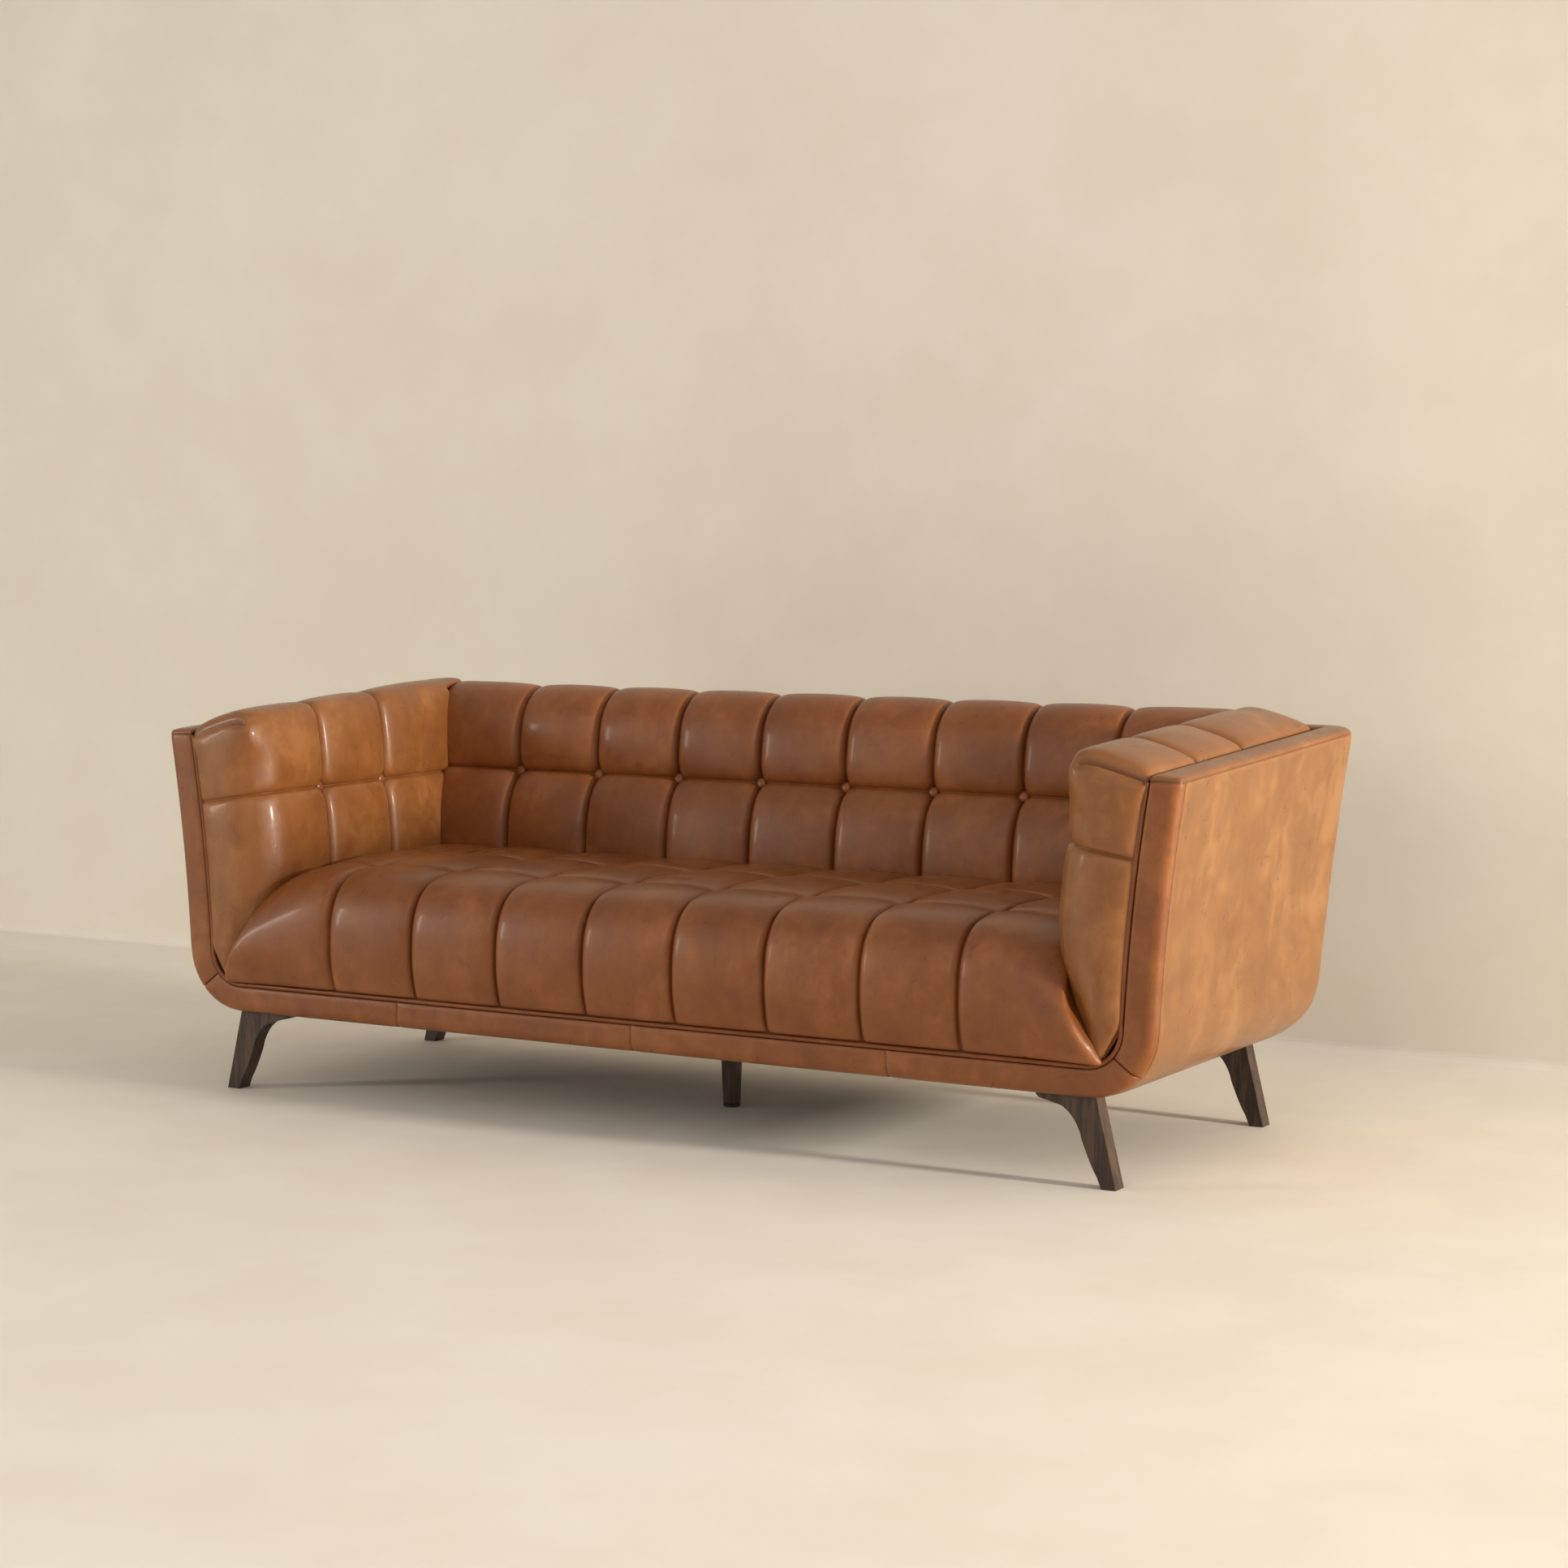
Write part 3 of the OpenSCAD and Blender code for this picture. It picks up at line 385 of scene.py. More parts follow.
def pillow(mesh, place, shown, seams, crown, buttons=(), weight=None, groove=None):
    """Shapes a block into a padded piece.

    place maps (across, along, through) to the piece at the level of its seams, shown says which vertices
    belong to the visible leather, crown is the height of the panels between the seams, and weight changes it
    from place to place. groove is the depth of the stitched grooves, where it isn't that of the pads.
    """
    groove = pads().groove if groove is None else groove
    keys = [v.co.copy() for v in mesh.verts]
    on_leather = [shown(*key) for key in keys]
    for v, key in zip(mesh.verts, keys):
        v.co = place(*key)
    face_out(mesh)
    mesh.normal_update()
    base = [v.co.copy() for v in mesh.verts]
    normals = [v.normal.copy() for v in mesh.verts]
    trees, sewn = [], [False] * len(keys)
    for seam in seams:
        found = [i for i, key in enumerate(keys) if on_leather[i] and seam.on(*key)]
        trees.append(nearest([base[i] for i in found]))
        for i in found:
            sewn[i] = sewn[i] or seam.sewn
    puff = mesh.verts.layers.float.new("puff")
    pinned = mesh.verts.layers.float.new("pinned")
    for i, v in enumerate(mesh.verts):
        v[pinned] = 1.0
        if not on_leather[i]:
            continue
        height, gap = 1.0, 1.0
        for seam, tree in zip(seams, trees):
            distance = tree.find(base[i])[2]
            height *= 1 - seam.pull * (1 - rise(distance, seam.reach))
            if seam.sewn:
                gap = min(gap, distance)
        sink = groove * math.exp(-((gap / SEAM_WIDTH) ** 2))
        for centre in buttons:
            sink += pads().pocket * (1 - ramp((base[i] - centre).length, 0.0, POCKET_R)) ** 2
        swell = crown * height * (weight(*keys[i]) if weight else 1.0)
        v.co = base[i] + normals[i] * (swell - sink)
        # puff falls in the seam grooves and button pockets, and the leather's colour paints shade there by it.
        v[puff] = max(0.0, height - 2 * sink / crown)
        if not sewn[i]:
            v[pinned] = 0.0
    crease_seams(mesh, sewn)
    return normals


def crease_seams(mesh, sewn, sharp=0.75):
    """Keeps the sewn lines tight when the piece is subdivided."""
    mesh.verts.index_update()
    crease = mesh.edges.layers.float.new("crease_edge")
    for edge in mesh.edges:
        a, b = edge.verts
        if sewn[a.index] and sewn[b.index]:
            edge[crease] = sharp


def inflate(mesh, cap=0.012, frames=20):
    """Cloth simulation of the visible leather: the panels swell against their seams, which are held."""
    pinned = mesh.verts.layers.float["pinned"]
    sheet = mesh.copy()
    index = sheet.verts.layers.int.new("index")
    for i, v in enumerate(sheet.verts):
        v[index] = i
    pinned_copy = sheet.verts.layers.float["pinned"]
    hidden = [f for f in sheet.faces if all(v[pinned_copy] > 0.5 for v in f.verts)]
    bmesh.ops.delete(sheet, geom=hidden, context="FACES")
    order = [v[index] for v in sheet.verts]
    held = [i for i, v in enumerate(sheet.verts) if v[pinned_copy] > 0.5]
    data = bpy.data.meshes.new("swelling")
    sheet.to_mesh(data)
    sheet.free()
    cloth_object = new_object("swelling", data)
    cloth_object.vertex_groups.new(name="held").add(held, 1.0, "REPLACE")
    cloth = cloth_object.modifiers.new("Cloth", "CLOTH")
    settings = cloth.settings
    for name, value in CLOTH.items():
        setattr(settings, name, value)
    settings.effector_weights.gravity = 0
    cloth.collision_settings.use_collision = False
    cloth.collision_settings.use_self_collision = False
    cloth.point_cache.frame_start = 1
    cloth.point_cache.frame_end = frames
    scene = bpy.context.scene
    for number in range(1, frames + 1):
        scene.frame_set(number)
    evaluated = cloth_object.evaluated_get(bpy.context.evaluated_depsgraph_get()).to_mesh()
    mesh.verts.ensure_lookup_table()
    for v, i in zip(evaluated.vertices, order):
        target = mesh.verts[i]
        if target[pinned] > 0.5:
            continue
        move = v.co - target.co
        if move.length > cap:
            move *= cap / move.length
        target.co += move
    bpy.data.objects.remove(cloth_object)
    bpy.data.meshes.remove(data)
    scene.frame_set(1)


def soften(mesh, factor=0.4):
    """Takes the last roughness out of the free leather."""
    pinned = mesh.verts.layers.float["pinned"]
    free = [v for v in mesh.verts if v[pinned] < 0.5]
    bmesh.ops.smooth_vert(mesh, verts=free, factor=factor, use_axis_x=True, use_axis_y=True, use_axis_z=True)


def subdivided(piece, levels=1):
    modifier = piece.modifiers.new("Subdivision", "SUBSURF")
    modifier.levels = levels
    modifier.render_levels = levels
    return piece


# ---- Materials ----


def new_group(name, inputs, outputs):
    """A node group with named sockets: each input is (name, type, default)."""
    group = bpy.data.node_groups.new(name, "ShaderNodeTree")
    for label, kind, default in inputs:
        socket = group.interface.new_socket(label, in_out="INPUT", socket_type=kind)
        socket.default_value = default
    for label, kind in outputs:
        group.interface.new_socket(label, in_out="OUTPUT", socket_type=kind)
    return group, group.nodes.new("NodeGroupInput"), group.nodes.new("NodeGroupOutput")


class Nodes:
    """Short hand for wiring a node tree."""

    def __init__(self, tree):
        self.tree = tree

    def add(self, kind, inputs=None, **settings):
        node = self.tree.nodes.new(kind)
        for key, value in settings.items():
            setattr(node, key, value)
        for key, value in (inputs or {}).items():
            if isinstance(value, bpy.types.NodeSocket):
                self.tree.links.new(value, node.inputs[key])
            else:
                node.inputs[key].default_value = value
        return node

    def noise(self, vector, scale, detail=2.0, roughness=0.5, distortion=0.0):
        inputs = {"Vector": vector, "Scale": scale, "Detail": detail, "Roughness": roughness}
        return self.add("ShaderNodeTexNoise", {**inputs, "Distortion": distortion}).outputs["Fac"]

    def stretch(self, vector, scale):
        return self.add("ShaderNodeMapping", {"Vector": vector, "Scale": scale}).outputs["Vector"]

    def curve(self, value, low, high, bottom=0.0, top=1.0):
        inputs = {"Value": value, "From Min": low, "From Max": high, "To Min": bottom, "To Max": top}
        return self.add("ShaderNodeMapRange", inputs, interpolation_type="SMOOTHSTEP").outputs["Result"]

    def maths(self, operation, a, b=0.0):
        return self.add("ShaderNodeMath", {0: a, 1: b}, operation=operation).outputs[0]

    def blend(self, factor, a, b):
        node = self.add("ShaderNodeMix", {"Factor": factor}, data_type="RGBA")
        for name, value in (("A", a), ("B", b)):
            socket = next(s for s in node.inputs if s.name == name and s.type == "RGBA")
            if isinstance(value, bpy.types.NodeSocket):
                self.tree.links.new(value, socket)
            else:
                socket.default_value = (*value, 1) if len(value) == 3 else value
        return next(s for s in node.outputs if s.type == "RGBA")


def hide_group():
    """Patches, streaks and pebble grain of waxed leather, with painted shade in its folds."""
    made = bpy.data.node_groups.get("waxed_hide")
    if made:
        return made
    colours = [("Base", finish().leather), ("Light", finish().leather_light), ("Dark", finish().leather_dark)]
    inputs = [(name, "NodeSocketColor", (*colour, 1)) for name, colour in colours]
    inputs += [("Puff", "NodeSocketFloat", 1.0), ("Shift", "NodeSocketFloat", 0.0)]
    inputs += [("Grain", "NodeSocketFloat", 1.0)]
    outputs = [("Color", "NodeSocketColor"), ("Roughness", "NodeSocketFloat"), ("Height", "NodeSocketFloat")]
    group, given, result = new_group("waxed_hide", inputs, outputs)
    n = Nodes(group)
    place = n.add("ShaderNodeTexCoord").outputs["Object"]
    place = n.add("ShaderNodeVectorMath", {0: place, 1: given.outputs["Shift"]}, operation="ADD").outputs[0]
    broad = n.noise(place, 7.0, 3.0, 0.6, 0.4)
    cloudy = n.noise(place, 24.0, 5.0, 0.65, 0.8)
    streaks = n.noise(n.stretch(place, (34.0, 34.0, 9.0)), 1.0, 4.0, 0.65, 0.3)
    fine = n.noise(place, 160.0, 3.0, 0.65)
    tone = n.maths("ADD", n.maths("MULTIPLY", broad, 0.5), n.maths("MULTIPLY", cloudy, 0.3))
    tone = n.maths("ADD", tone, n.maths("MULTIPLY", streaks, 0.2))
    darker = n.curve(tone, 0.52, 0.36)
    lighter = n.curve(tone, 0.48, 0.64)
    colour = n.blend(n.maths("MULTIPLY", darker, 0.38), given.outputs["Base"], given.outputs["Dark"])
    colour = n.blend(n.maths("MULTIPLY", lighter, 0.8), colour, given.outputs["Light"])
    # Painted shade: the colour darkens towards the dark colour in the folds, seam grooves and button pockets,
    # where the puff attribute is low.
    fold = n.curve(given.outputs["Puff"], 0.10, -0.05)
    colour = n.blend(n.maths("MULTIPLY", fold, 0.85), colour, given.outputs["Dark"])
    puff = given.outputs["Puff"]
    pull = n.maths("MULTIPLY", n.curve(puff, 0.25, 0.5), n.curve(puff, 0.9, 0.6))
    colour = n.blend(n.maths("MULTIPLY", pull, 0.22), colour, given.outputs["Light"])
    colour = n.blend(n.curve(fine, 0.40, 0.75, 0.0, 0.07), colour, given.outputs["Dark"])
    cells = n.add("ShaderNodeTexVoronoi", {"Vector": place, "Scale": 620.0, "Randomness": 1.0})
    cells.feature = "DISTANCE_TO_EDGE"
    pebble = n.curve(cells.outputs["Distance"], 0.0, 0.22)
    crumple = n.noise(place, 60.0, 3.0, 0.6, 0.5)
    height = n.maths("ADD", n.maths("MULTIPLY", pebble, 0.35), n.maths("MULTIPLY", crumple, 0.9))
    height = n.maths("MULTIPLY", height, given.outputs["Grain"])
    gloss = n.maths("ADD", n.curve(cloudy, 0.3, 0.7, 0.27, 0.38), n.maths("MULTIPLY", fold, 0.2))
    group.links.new(colour, result.inputs["Color"])
    group.links.new(gloss, result.inputs["Roughness"])
    group.links.new(height, result.inputs["Height"])
    return group


def wood_group():
    """Long grain of sawn timber, running along Z."""
    made = bpy.data.node_groups.get("timber_grain")
    if made:
        return made
    inputs = [("Base", "NodeSocketColor", (0.5, 0.5, 0.5, 1)), ("Dark", "NodeSocketColor", (0.2, 0.2, 0.2, 1))]
    inputs += [("Stretch", "NodeSocketVector", (1.0, 1.0, 0.12)), ("Scale", "NodeSocketFloat", 60.0)]
    outputs = [("Color", "NodeSocketColor"), ("Roughness", "NodeSocketFloat"), ("Height", "NodeSocketFloat")]
    group, given, result = new_group("timber_grain", inputs, outputs)
    n = Nodes(group)
    place = n.add("ShaderNodeTexCoord").outputs["Object"]
    stretched = n.add("ShaderNodeVectorMath", {0: place, 1: given.outputs["Stretch"]}, operation="MULTIPLY")
    place = stretched.outputs[0]
    bands = n.noise(place, given.outputs["Scale"], 4.0, 0.6, 1.2)
    pores = n.noise(place, n.maths("MULTIPLY", given.outputs["Scale"], 7.0), 3.0, 0.6)
    colour = n.blend(n.curve(bands, 0.38, 0.66), given.outputs["Dark"], given.outputs["Base"])
    colour = n.blend(n.curve(pores, 0.42, 0.3, 0.0, 0.55), colour, given.outputs["Dark"])
    group.links.new(colour, result.inputs["Color"])
    group.links.new(n.curve(pores, 0.3, 0.6, 0.52, 0.38), result.inputs["Roughness"])
    group.links.new(n.maths("ADD", n.maths("MULTIPLY", bands, 0.4), pores), result.inputs["Height"])
    return group


def new_material(name):
    material = bpy.data.materials.new(name)
    material.use_nodes = True
    tree = material.node_tree
    return material, Nodes(tree), tree.nodes["Principled BSDF"]


def wire_group(n, shader, group, inputs, bump=0.0004):
    """Places an effect group and wires its colour, roughness and bump."""
    node = n.add("ShaderNodeGroup", inputs, node_tree=group)
    height = n.add("ShaderNodeBump", {"Height": node.outputs["Height"], "Strength": 0.6, "Distance": bump})
    n.tree.links.new(node.outputs["Color"], shader.inputs["Base Color"])
    n.tree.links.new(node.outputs["Roughness"], shader.inputs["Roughness"])
    n.tree.links.new(height.outputs["Normal"], shader.inputs["Normal"])


# Factors on the leather's colours that paint light and sheen into the pieces that stand in the key light: the
# sides, and the arms and the rim. These are lit copies of the leather, so the sides meet the rear panel with a
# step in colour at the rear seams.
SIDE_PAINTED_SUN = (1.14, 1.6, 2.2)
ARM_RIM_PAINTED_SUN = (1.12, 1.35, 1.6)


def leather(name, shift=0.0, puffed=True, tone=(1.0, 1.0, 1.0), grain=1.0):
    """Semi-gloss waxed leather. Puffed leather darkens in its folds, by the piece's own puff attribute, which
    paints shade into its seam grooves and button pockets. tone multiplies the colours, and the sun tones among
    them paint light and sheen into the lit pieces.
    """
    made = bpy.data.materials.get(name)
    if made:
        return made
    material, n, shader = new_material(name)
    inputs = {"Shift": shift, "Grain": grain}
    colours = {"Base": finish().leather, "Light": finish().leather_light, "Dark": finish().leather_dark}
    for key, colour in colours.items():
        inputs[key] = (*(c * t for c, t in zip(colour, tone)), 1)
    if puffed:
        inputs["Puff"] = n.add("ShaderNodeAttribute", attribute_name="puff").outputs["Fac"]
    wire_group(n, shader, hide_group(), inputs)
    shader.inputs["Specular IOR Level"].default_value = 0.4
    shader.inputs["Coat Weight"].default_value = 0.1
    shader.inputs["Coat Roughness"].default_value = 0.14
    return material


def wood(name, base, dark, stretch=(1.0, 1.0, 0.12), scale=60.0, bump=0.0003):
    made = bpy.data.materials.get(name)
    if made:
        return made
    material, n, shader = new_material(name)
    inputs = {"Base": (*base, 1), "Dark": (*dark, 1), "Stretch": stretch, "Scale": scale}
    wire_group(n, shader, wood_group(), inputs, bump)
    return material


def plain(name, low, high, scale, rough=(0.5, 0.7), metallic=0.0, bump=0.0003, stretch=(1, 1, 1)):
    """A finish mottled between two colours, for foam, cloth, steel and plastic."""
    made = bpy.data.materials.get(name)
    if made:
        return made
    material, n, shader = new_material(name)
    place = n.stretch(n.add("ShaderNodeTexCoord").outputs["Object"], stretch)
    speck = n.noise(place, scale, 4.0, 0.6)
    colour = n.blend(n.curve(speck, 0.3, 0.7), low, high)
    n.tree.links.new(colour, shader.inputs["Base Color"])
    n.tree.links.new(n.curve(speck, 0.3, 0.7, *rough), shader.inputs["Roughness"])
    shader.inputs["Metallic"].default_value = metallic
    height = n.add("ShaderNodeBump", {"Height": speck, "Strength": 0.5, "Distance": bump})
    n.tree.links.new(height.outputs["Normal"], shader.inputs["Normal"])
    return material


def woven(name, low, high, threads):
    """A plain weave with its threads along the object's X and Y, and up Z on upright cloth."""
    made = bpy.data.materials.get(name)
    if made:
        return made
    material, n, shader = new_material(name)
    place = n.add("ShaderNodeTexCoord").outputs["Object"]
    waves = []
    for axis in ("X", "Y", "Z"):
        wave = n.add("ShaderNodeTexWave", {"Vector": place, "Scale": threads / 20, "Distortion": 0.6})
        wave.bands_direction = axis
        waves.append(wave.outputs["Fac"])
    weave = n.maths("MULTIPLY", n.maths("MAXIMUM", waves[0], waves[2]), waves[1])
    n.tree.links.new(n.blend(weave, low, high), shader.inputs["Base Color"])
    shader.inputs["Roughness"].default_value = 0.9
    height = n.add("ShaderNodeBump", {"Height": weave, "Strength": 0.6, "Distance": 0.0006})
    n.tree.links.new(height.outputs["Normal"], shader.inputs["Normal"])
    return material


# ---- Padded pieces ----


def seam_places():
    """X of the lengthwise seams of the seat and the back."""
    return [(i - 3.5) * pads().pitch for i in range(8)]


def arm_inner():
    """Inner outline of the arm pads at their seams: up from the bottom corner, over the top to the rim."""
    return Line([
        (0.957, 0.226), (0.914, 0.315), (0.882, 0.405), (0.876, 0.460), (0.881, 0.530),
        (0.889, 0.600), (0.895, 0.660), (0.903, 0.715), (0.912, 0.738), (0.932, 0.742),
        (0.975, 0.732), (1.045, 0.711),
    ])


def arm_edge(z):
    """X of the arm pads' inner face at a height, at the level of their seams."""
    line = arm_inner()
    return line.point(line.where(lambda p: p.y >= min(z, 0.73))).x


def back_profile():
    """Front of the back pad at its seams, as depth and height, over the top and down to the rim."""
    return Line([
        (0.590, 0.425), (0.596, 0.510), (0.612, 0.566), (0.640, 0.610), (0.642, 0.663),
        (0.652, 0.720), (0.672, 0.752), (0.700, 0.770), (0.735, 0.772), (0.768, 0.752),
    ])


def seat_profile():
    """Front and top of the seat at its seams, as depth and height, from the welt to the back."""
    return Line([
        (0.000, 0.220), (-0.013, 0.290), (-0.007, 0.375), (0.026, 0.427), (0.085, 0.444),
        (0.200, 0.449), (0.400, 0.446), (0.594, 0.438),
    ])


def seat_end_profile():
    """Line along which the seat meets the arms, tucked down between them."""
    return Line([
        (0.000, 0.220), (-0.026, 0.262), (-0.027, 0.300), (0.000, 0.350), (0.070, 0.394),
        (0.160, 0.412), (0.250, 0.424), (0.370, 0.432), (0.594, 0.430),
    ])


def offset(line, along, thickness):
    """A point inside a profile, at right angles to it."""
    point, heading = line.point(along), line.heading(along)
    return point + Vector((heading.y, -heading.x)) * thickness


def stretch_ends(x, inner, nominal, real):
    """Widens the end panels, which reach from the outermost seam to the pad's end."""
    if abs(x) <= inner:
        return x
    reach = inner + (abs(x) - inner) / (nominal - inner) * (real - inner)
    return math.copysign(reach, x)


def near(value, places, slack=1e-5):
    return any(abs(value - place) < slack for place in places)


def seat_piece():
    """The bench seat: nine panels, two rows of cross seams with stitched dimples."""
    line = seat_profile()
    end_line = seat_end_profile()
    xs = seam_places()
    end = SEAT_HALF
    cross = [line.where(lambda p, d=d: p.x >= d and p.y > 0.43) for d in (0.150, 0.372)]
    across = rows(2 * end, [x + end for x in xs], pads().step)
    along = rows(line.length, cross, pads().step)
    mesh = slab(across, along)
    thin_underside(mesh)
    cache = {}

    def place(s, t, d):
        if t not in cache:
            low, tucked = line.point(t), end_line.point(t / line.length * end_line.length)
            side = arm_edge(tucked.y) + 0.012 * (1 - ramp(tucked.y, 0.25, 0.34))
            cache[t] = (low, tucked, offset(line, t, 0.05) - low, side)
        low, tucked, deeper, side = cache[t]
        x = stretch_ends(s - end, xs[-1], end, side)
        tuck = max(0.0, (abs(s - end) - xs[-1]) / (end - xs[-1])) ** 2.2
        u, z = low.lerp(tucked, tuck) + deeper * (1 - d)
        return row(x, u, z)

    seams = [
        Seam(lambda s, t, d: near(s - end, xs), 0.5 * pads().pitch),
        Seam(outline(across, along), 0.085),
        Seam(lambda s, t, d: near(t, cross), 0.06, pull=0.45),
    ]
    dimples = [place(x + end, t, 1.0) for x in xs for t in cross]
    pillow(mesh, place, upper, seams, pads().seat_crown)
    puff = mesh.verts.layers.float["puff"]
    for v in mesh.verts:
        for dimple in dimples:
            distance = (v.co - dimple).length
            if distance < 0.05:
                v.co.z -= 0.006 * (1 - ramp(distance, 0.0, 0.05))
                # A lower puff paints shade into the dimple.
                v[puff] *= mix(0.5, 1.0, ramp(distance, 0.0, 0.03))
    inflate(mesh, cap=0.01)
    soften(mesh)
    return mesh


def back_piece():
    """The back pad: nine panels over its whole height, buttoned at mid height."""
    line = back_profile()
    xs = seam_places()
    end = BACK_HALF
    tuft = [line.where(lambda p: p.y >= pads().tuft_z)]
    across = rows(2 * end, [x + end for x in xs], pads().step)
    along = rows(line.length, tuft, pads().step)
    mesh = slab(across, along)
    thin_underside(mesh)
    cache = {}

    def place(s, t, d):
        if t not in cache:
            low = line.point(t)
            lean = ramp(low.y, 0.60, 0.77)
            side = mix(mix(0.872, 0.890, ramp(low.y, 0.43, 0.61)), 0.914, lean)
            cache[t] = (low, offset(line, t, 0.03), side)
        low, deep, side = cache[t]
        x = stretch_ends(s - end, xs[-1], end, side)
        u, z = low.lerp(deep, 1 - d)
        return row(x, u, z)

    seams = [
        Seam(lambda s, t, d: near(s - end, xs), 0.5 * pads().pitch),
        Seam(outline(across, along), 0.04),
        Seam(lambda s, t, d: near(t, tuft), 0.06, pull=0.6),
    ]
    buttons = [place(x + end, tuft[0], 1.0) for x in xs]
    pillow(mesh, place, upper, seams, pads().back_crown, buttons)
    inflate(mesh)
    soften(mesh)
    return mesh


ARM_SEAMS = (0.213, 0.419)  # depths of the arm pads' upright seams
THREAD = (0.19, 0.07, 0.028), (0.26, 0.10, 0.04)


def arm_piece(side):
    """An arm pad: the inner face runs round to the front face and over the top to the rim."""
    line = arm_inner()
    back = back_profile()
    top_start = line.where(lambda p: p.y > 0.7385)
    tuft = line.where(lambda p: p.y >= pads().arm_tuft_z)
    nominal = 0.60
    across = rows(nominal, ARM_SEAMS, pads().step)
    along = rows(line.length, [tuft, top_start], pads().step)
    through = [i / 12 for i in range(13)]
    mesh = slab(across, along, through)
    cache = {}

    def outer(t):
        """The outer wall beside the pad: its horizontal seam falls a little towards the welt."""
        if t >= top_start:
            z = mix(0.672, 0.708, (t - top_start) / (line.length - top_start))
        elif t >= tuft:
            z = mix(0.578, 0.672, (t - tuft) / (top_start - tuft))
        else:
            z = mix(0.232, 0.578, t / tuft)
        wall = half_width(z) - tub().facing_w
        if z < 0.30:
            wall = min(wall, 0.966 + (z - 0.232) * 0.62)
        return Vector((wall, z))

    def rear_reach(p):
        """Depth at which the pad ends, where it meets the back pad or the rim behind it."""
        if p.x > 0.915:
            return 0.752
        if p.y > 0.74:
            return mix(0.690, 0.752, ramp(p.x, 0.900, 0.915))
        return back.point(back.where(lambda q: q.y >= max(0.43, p.y))).x + 0.012

    def place(s, t, d):
        if t not in cache:
            inner = line.point(t)
            cache[t] = (inner, outer(t), rear_reach(inner))
        inner, wall, reach = cache[t]
        last = ARM_SEAMS[1]
        depth = s if s <= last else mix(last, reach, (s - last) / (nominal - last))
        x, z = wall.lerp(inner, d)
        lift = rim_rise(depth) * ramp(z, 0.60, 0.72)
        gap = (inner - wall).length * (1 - d)
        radius = mix(0.06, 0.012, ramp(t, top_start - 0.09, top_start - 0.005)) if t < top_start else 0.004
        radius = min(radius, 0.45 * (inner - wall).length + 0.001)
        if depth < radius and d > 0.999 or gap < radius and depth < 1e-6:
            inward = (wall - inner).normalized()
            turn = 0.25 * math.pi * (1 + (depth if depth >= 1e-6 else -gap) / radius)
            spot = inner + inward * radius * (1 - math.sin(turn))
            return row(spot.x * side, radius * (1 - math.cos(turn)), spot.y + lift)
        return row(x * side, depth, z + lift)

    def shown(s, t, d):
        return d > 0.999 or s < 1e-6

    def border(s, t, d):
        tail = near(s, (across[-1],)) and t > top_start
        return near(t, (0, along[-1])) or tail or (near(s, (0,)) and near(d, (0,)))

    def dart(s, t, d):
        return near(s, (0,)) and d > 0.999 and t >= top_start - 1e-6

    seams = [
        Seam(lambda s, t, d: near(s, ARM_SEAMS) and d > 0.999, 0.075, pull=0.62),
        Seam(border, 0.07),
        Seam(dart, 0.045),
        Seam(lambda s, t, d: near(t, (tuft,)), 0.075, pull=0.6),
    ]

    def weight(s, t, d):
        """Fuller over the top, flatter on the front face."""
        fuller = mix(1.0, 1.2, ramp(t, top_start - 0.04, top_start + 0.03))
        if d > 0.999:
            return fuller * mix(0.75, 1.0, ramp(s, 0.0, 0.06)) if t < top_start else fuller
        return fuller * 0.55

    buttons = [place(s, tuft, 1.0) for s in ARM_SEAMS]
    pillow(mesh, place, shown, seams, pads().arm_crown, buttons, weight)
    inflate(mesh)
    soften(mesh)
    return mesh


# ---- Outer leather of the tub ----


def front_line(place):
    """Outer and inner outline of the front facing, as X and Z. place runs from the middle of the bottom,
    0, to the right; the left is negative."""
    r, far = tub().corner_r, abs(place)
    round_end = REAR_SEAM_X + r * math.pi / 2
    if far <= REAR_SEAM_X:
        outer, inner = Vector((far, UNDERSIDE)), Vector((far * 0.994, UNDERSIDE + tub().facing_low))
    elif far <= round_end:
        turn = (far - REAR_SEAM_X) / r - math.pi / 2
        way = Vector((math.cos(turn), math.sin(turn)))
        outer = Vector((REAR_SEAM_X, corner_top())) + way * r
        inner = Vector((REAR_SEAM_X * 0.994, corner_top() - 0.002)) + way * (r - 0.052)
    else:
        z = corner_top() + far - round_end
        outer = Vector((half_width(z), z))
        inner = Vector((half_width(z) - mix(0.0585, tub().facing_w, ramp(z, corner_top(), 0.4)), z))
    sign = -1 if place < 0 else 1
    return Vector((outer.x * sign, outer.y)), Vector((inner.x * sign, inner.y))


def mitre_place(degrees=-42):
    return REAR_SEAM_X + tub().corner_r * (math.pi / 2 + math.radians(degrees))


def facing_end():
    return REAR_SEAM_X + tub().corner_r * math.pi / 2 + RIM_FRONT - corner_top()


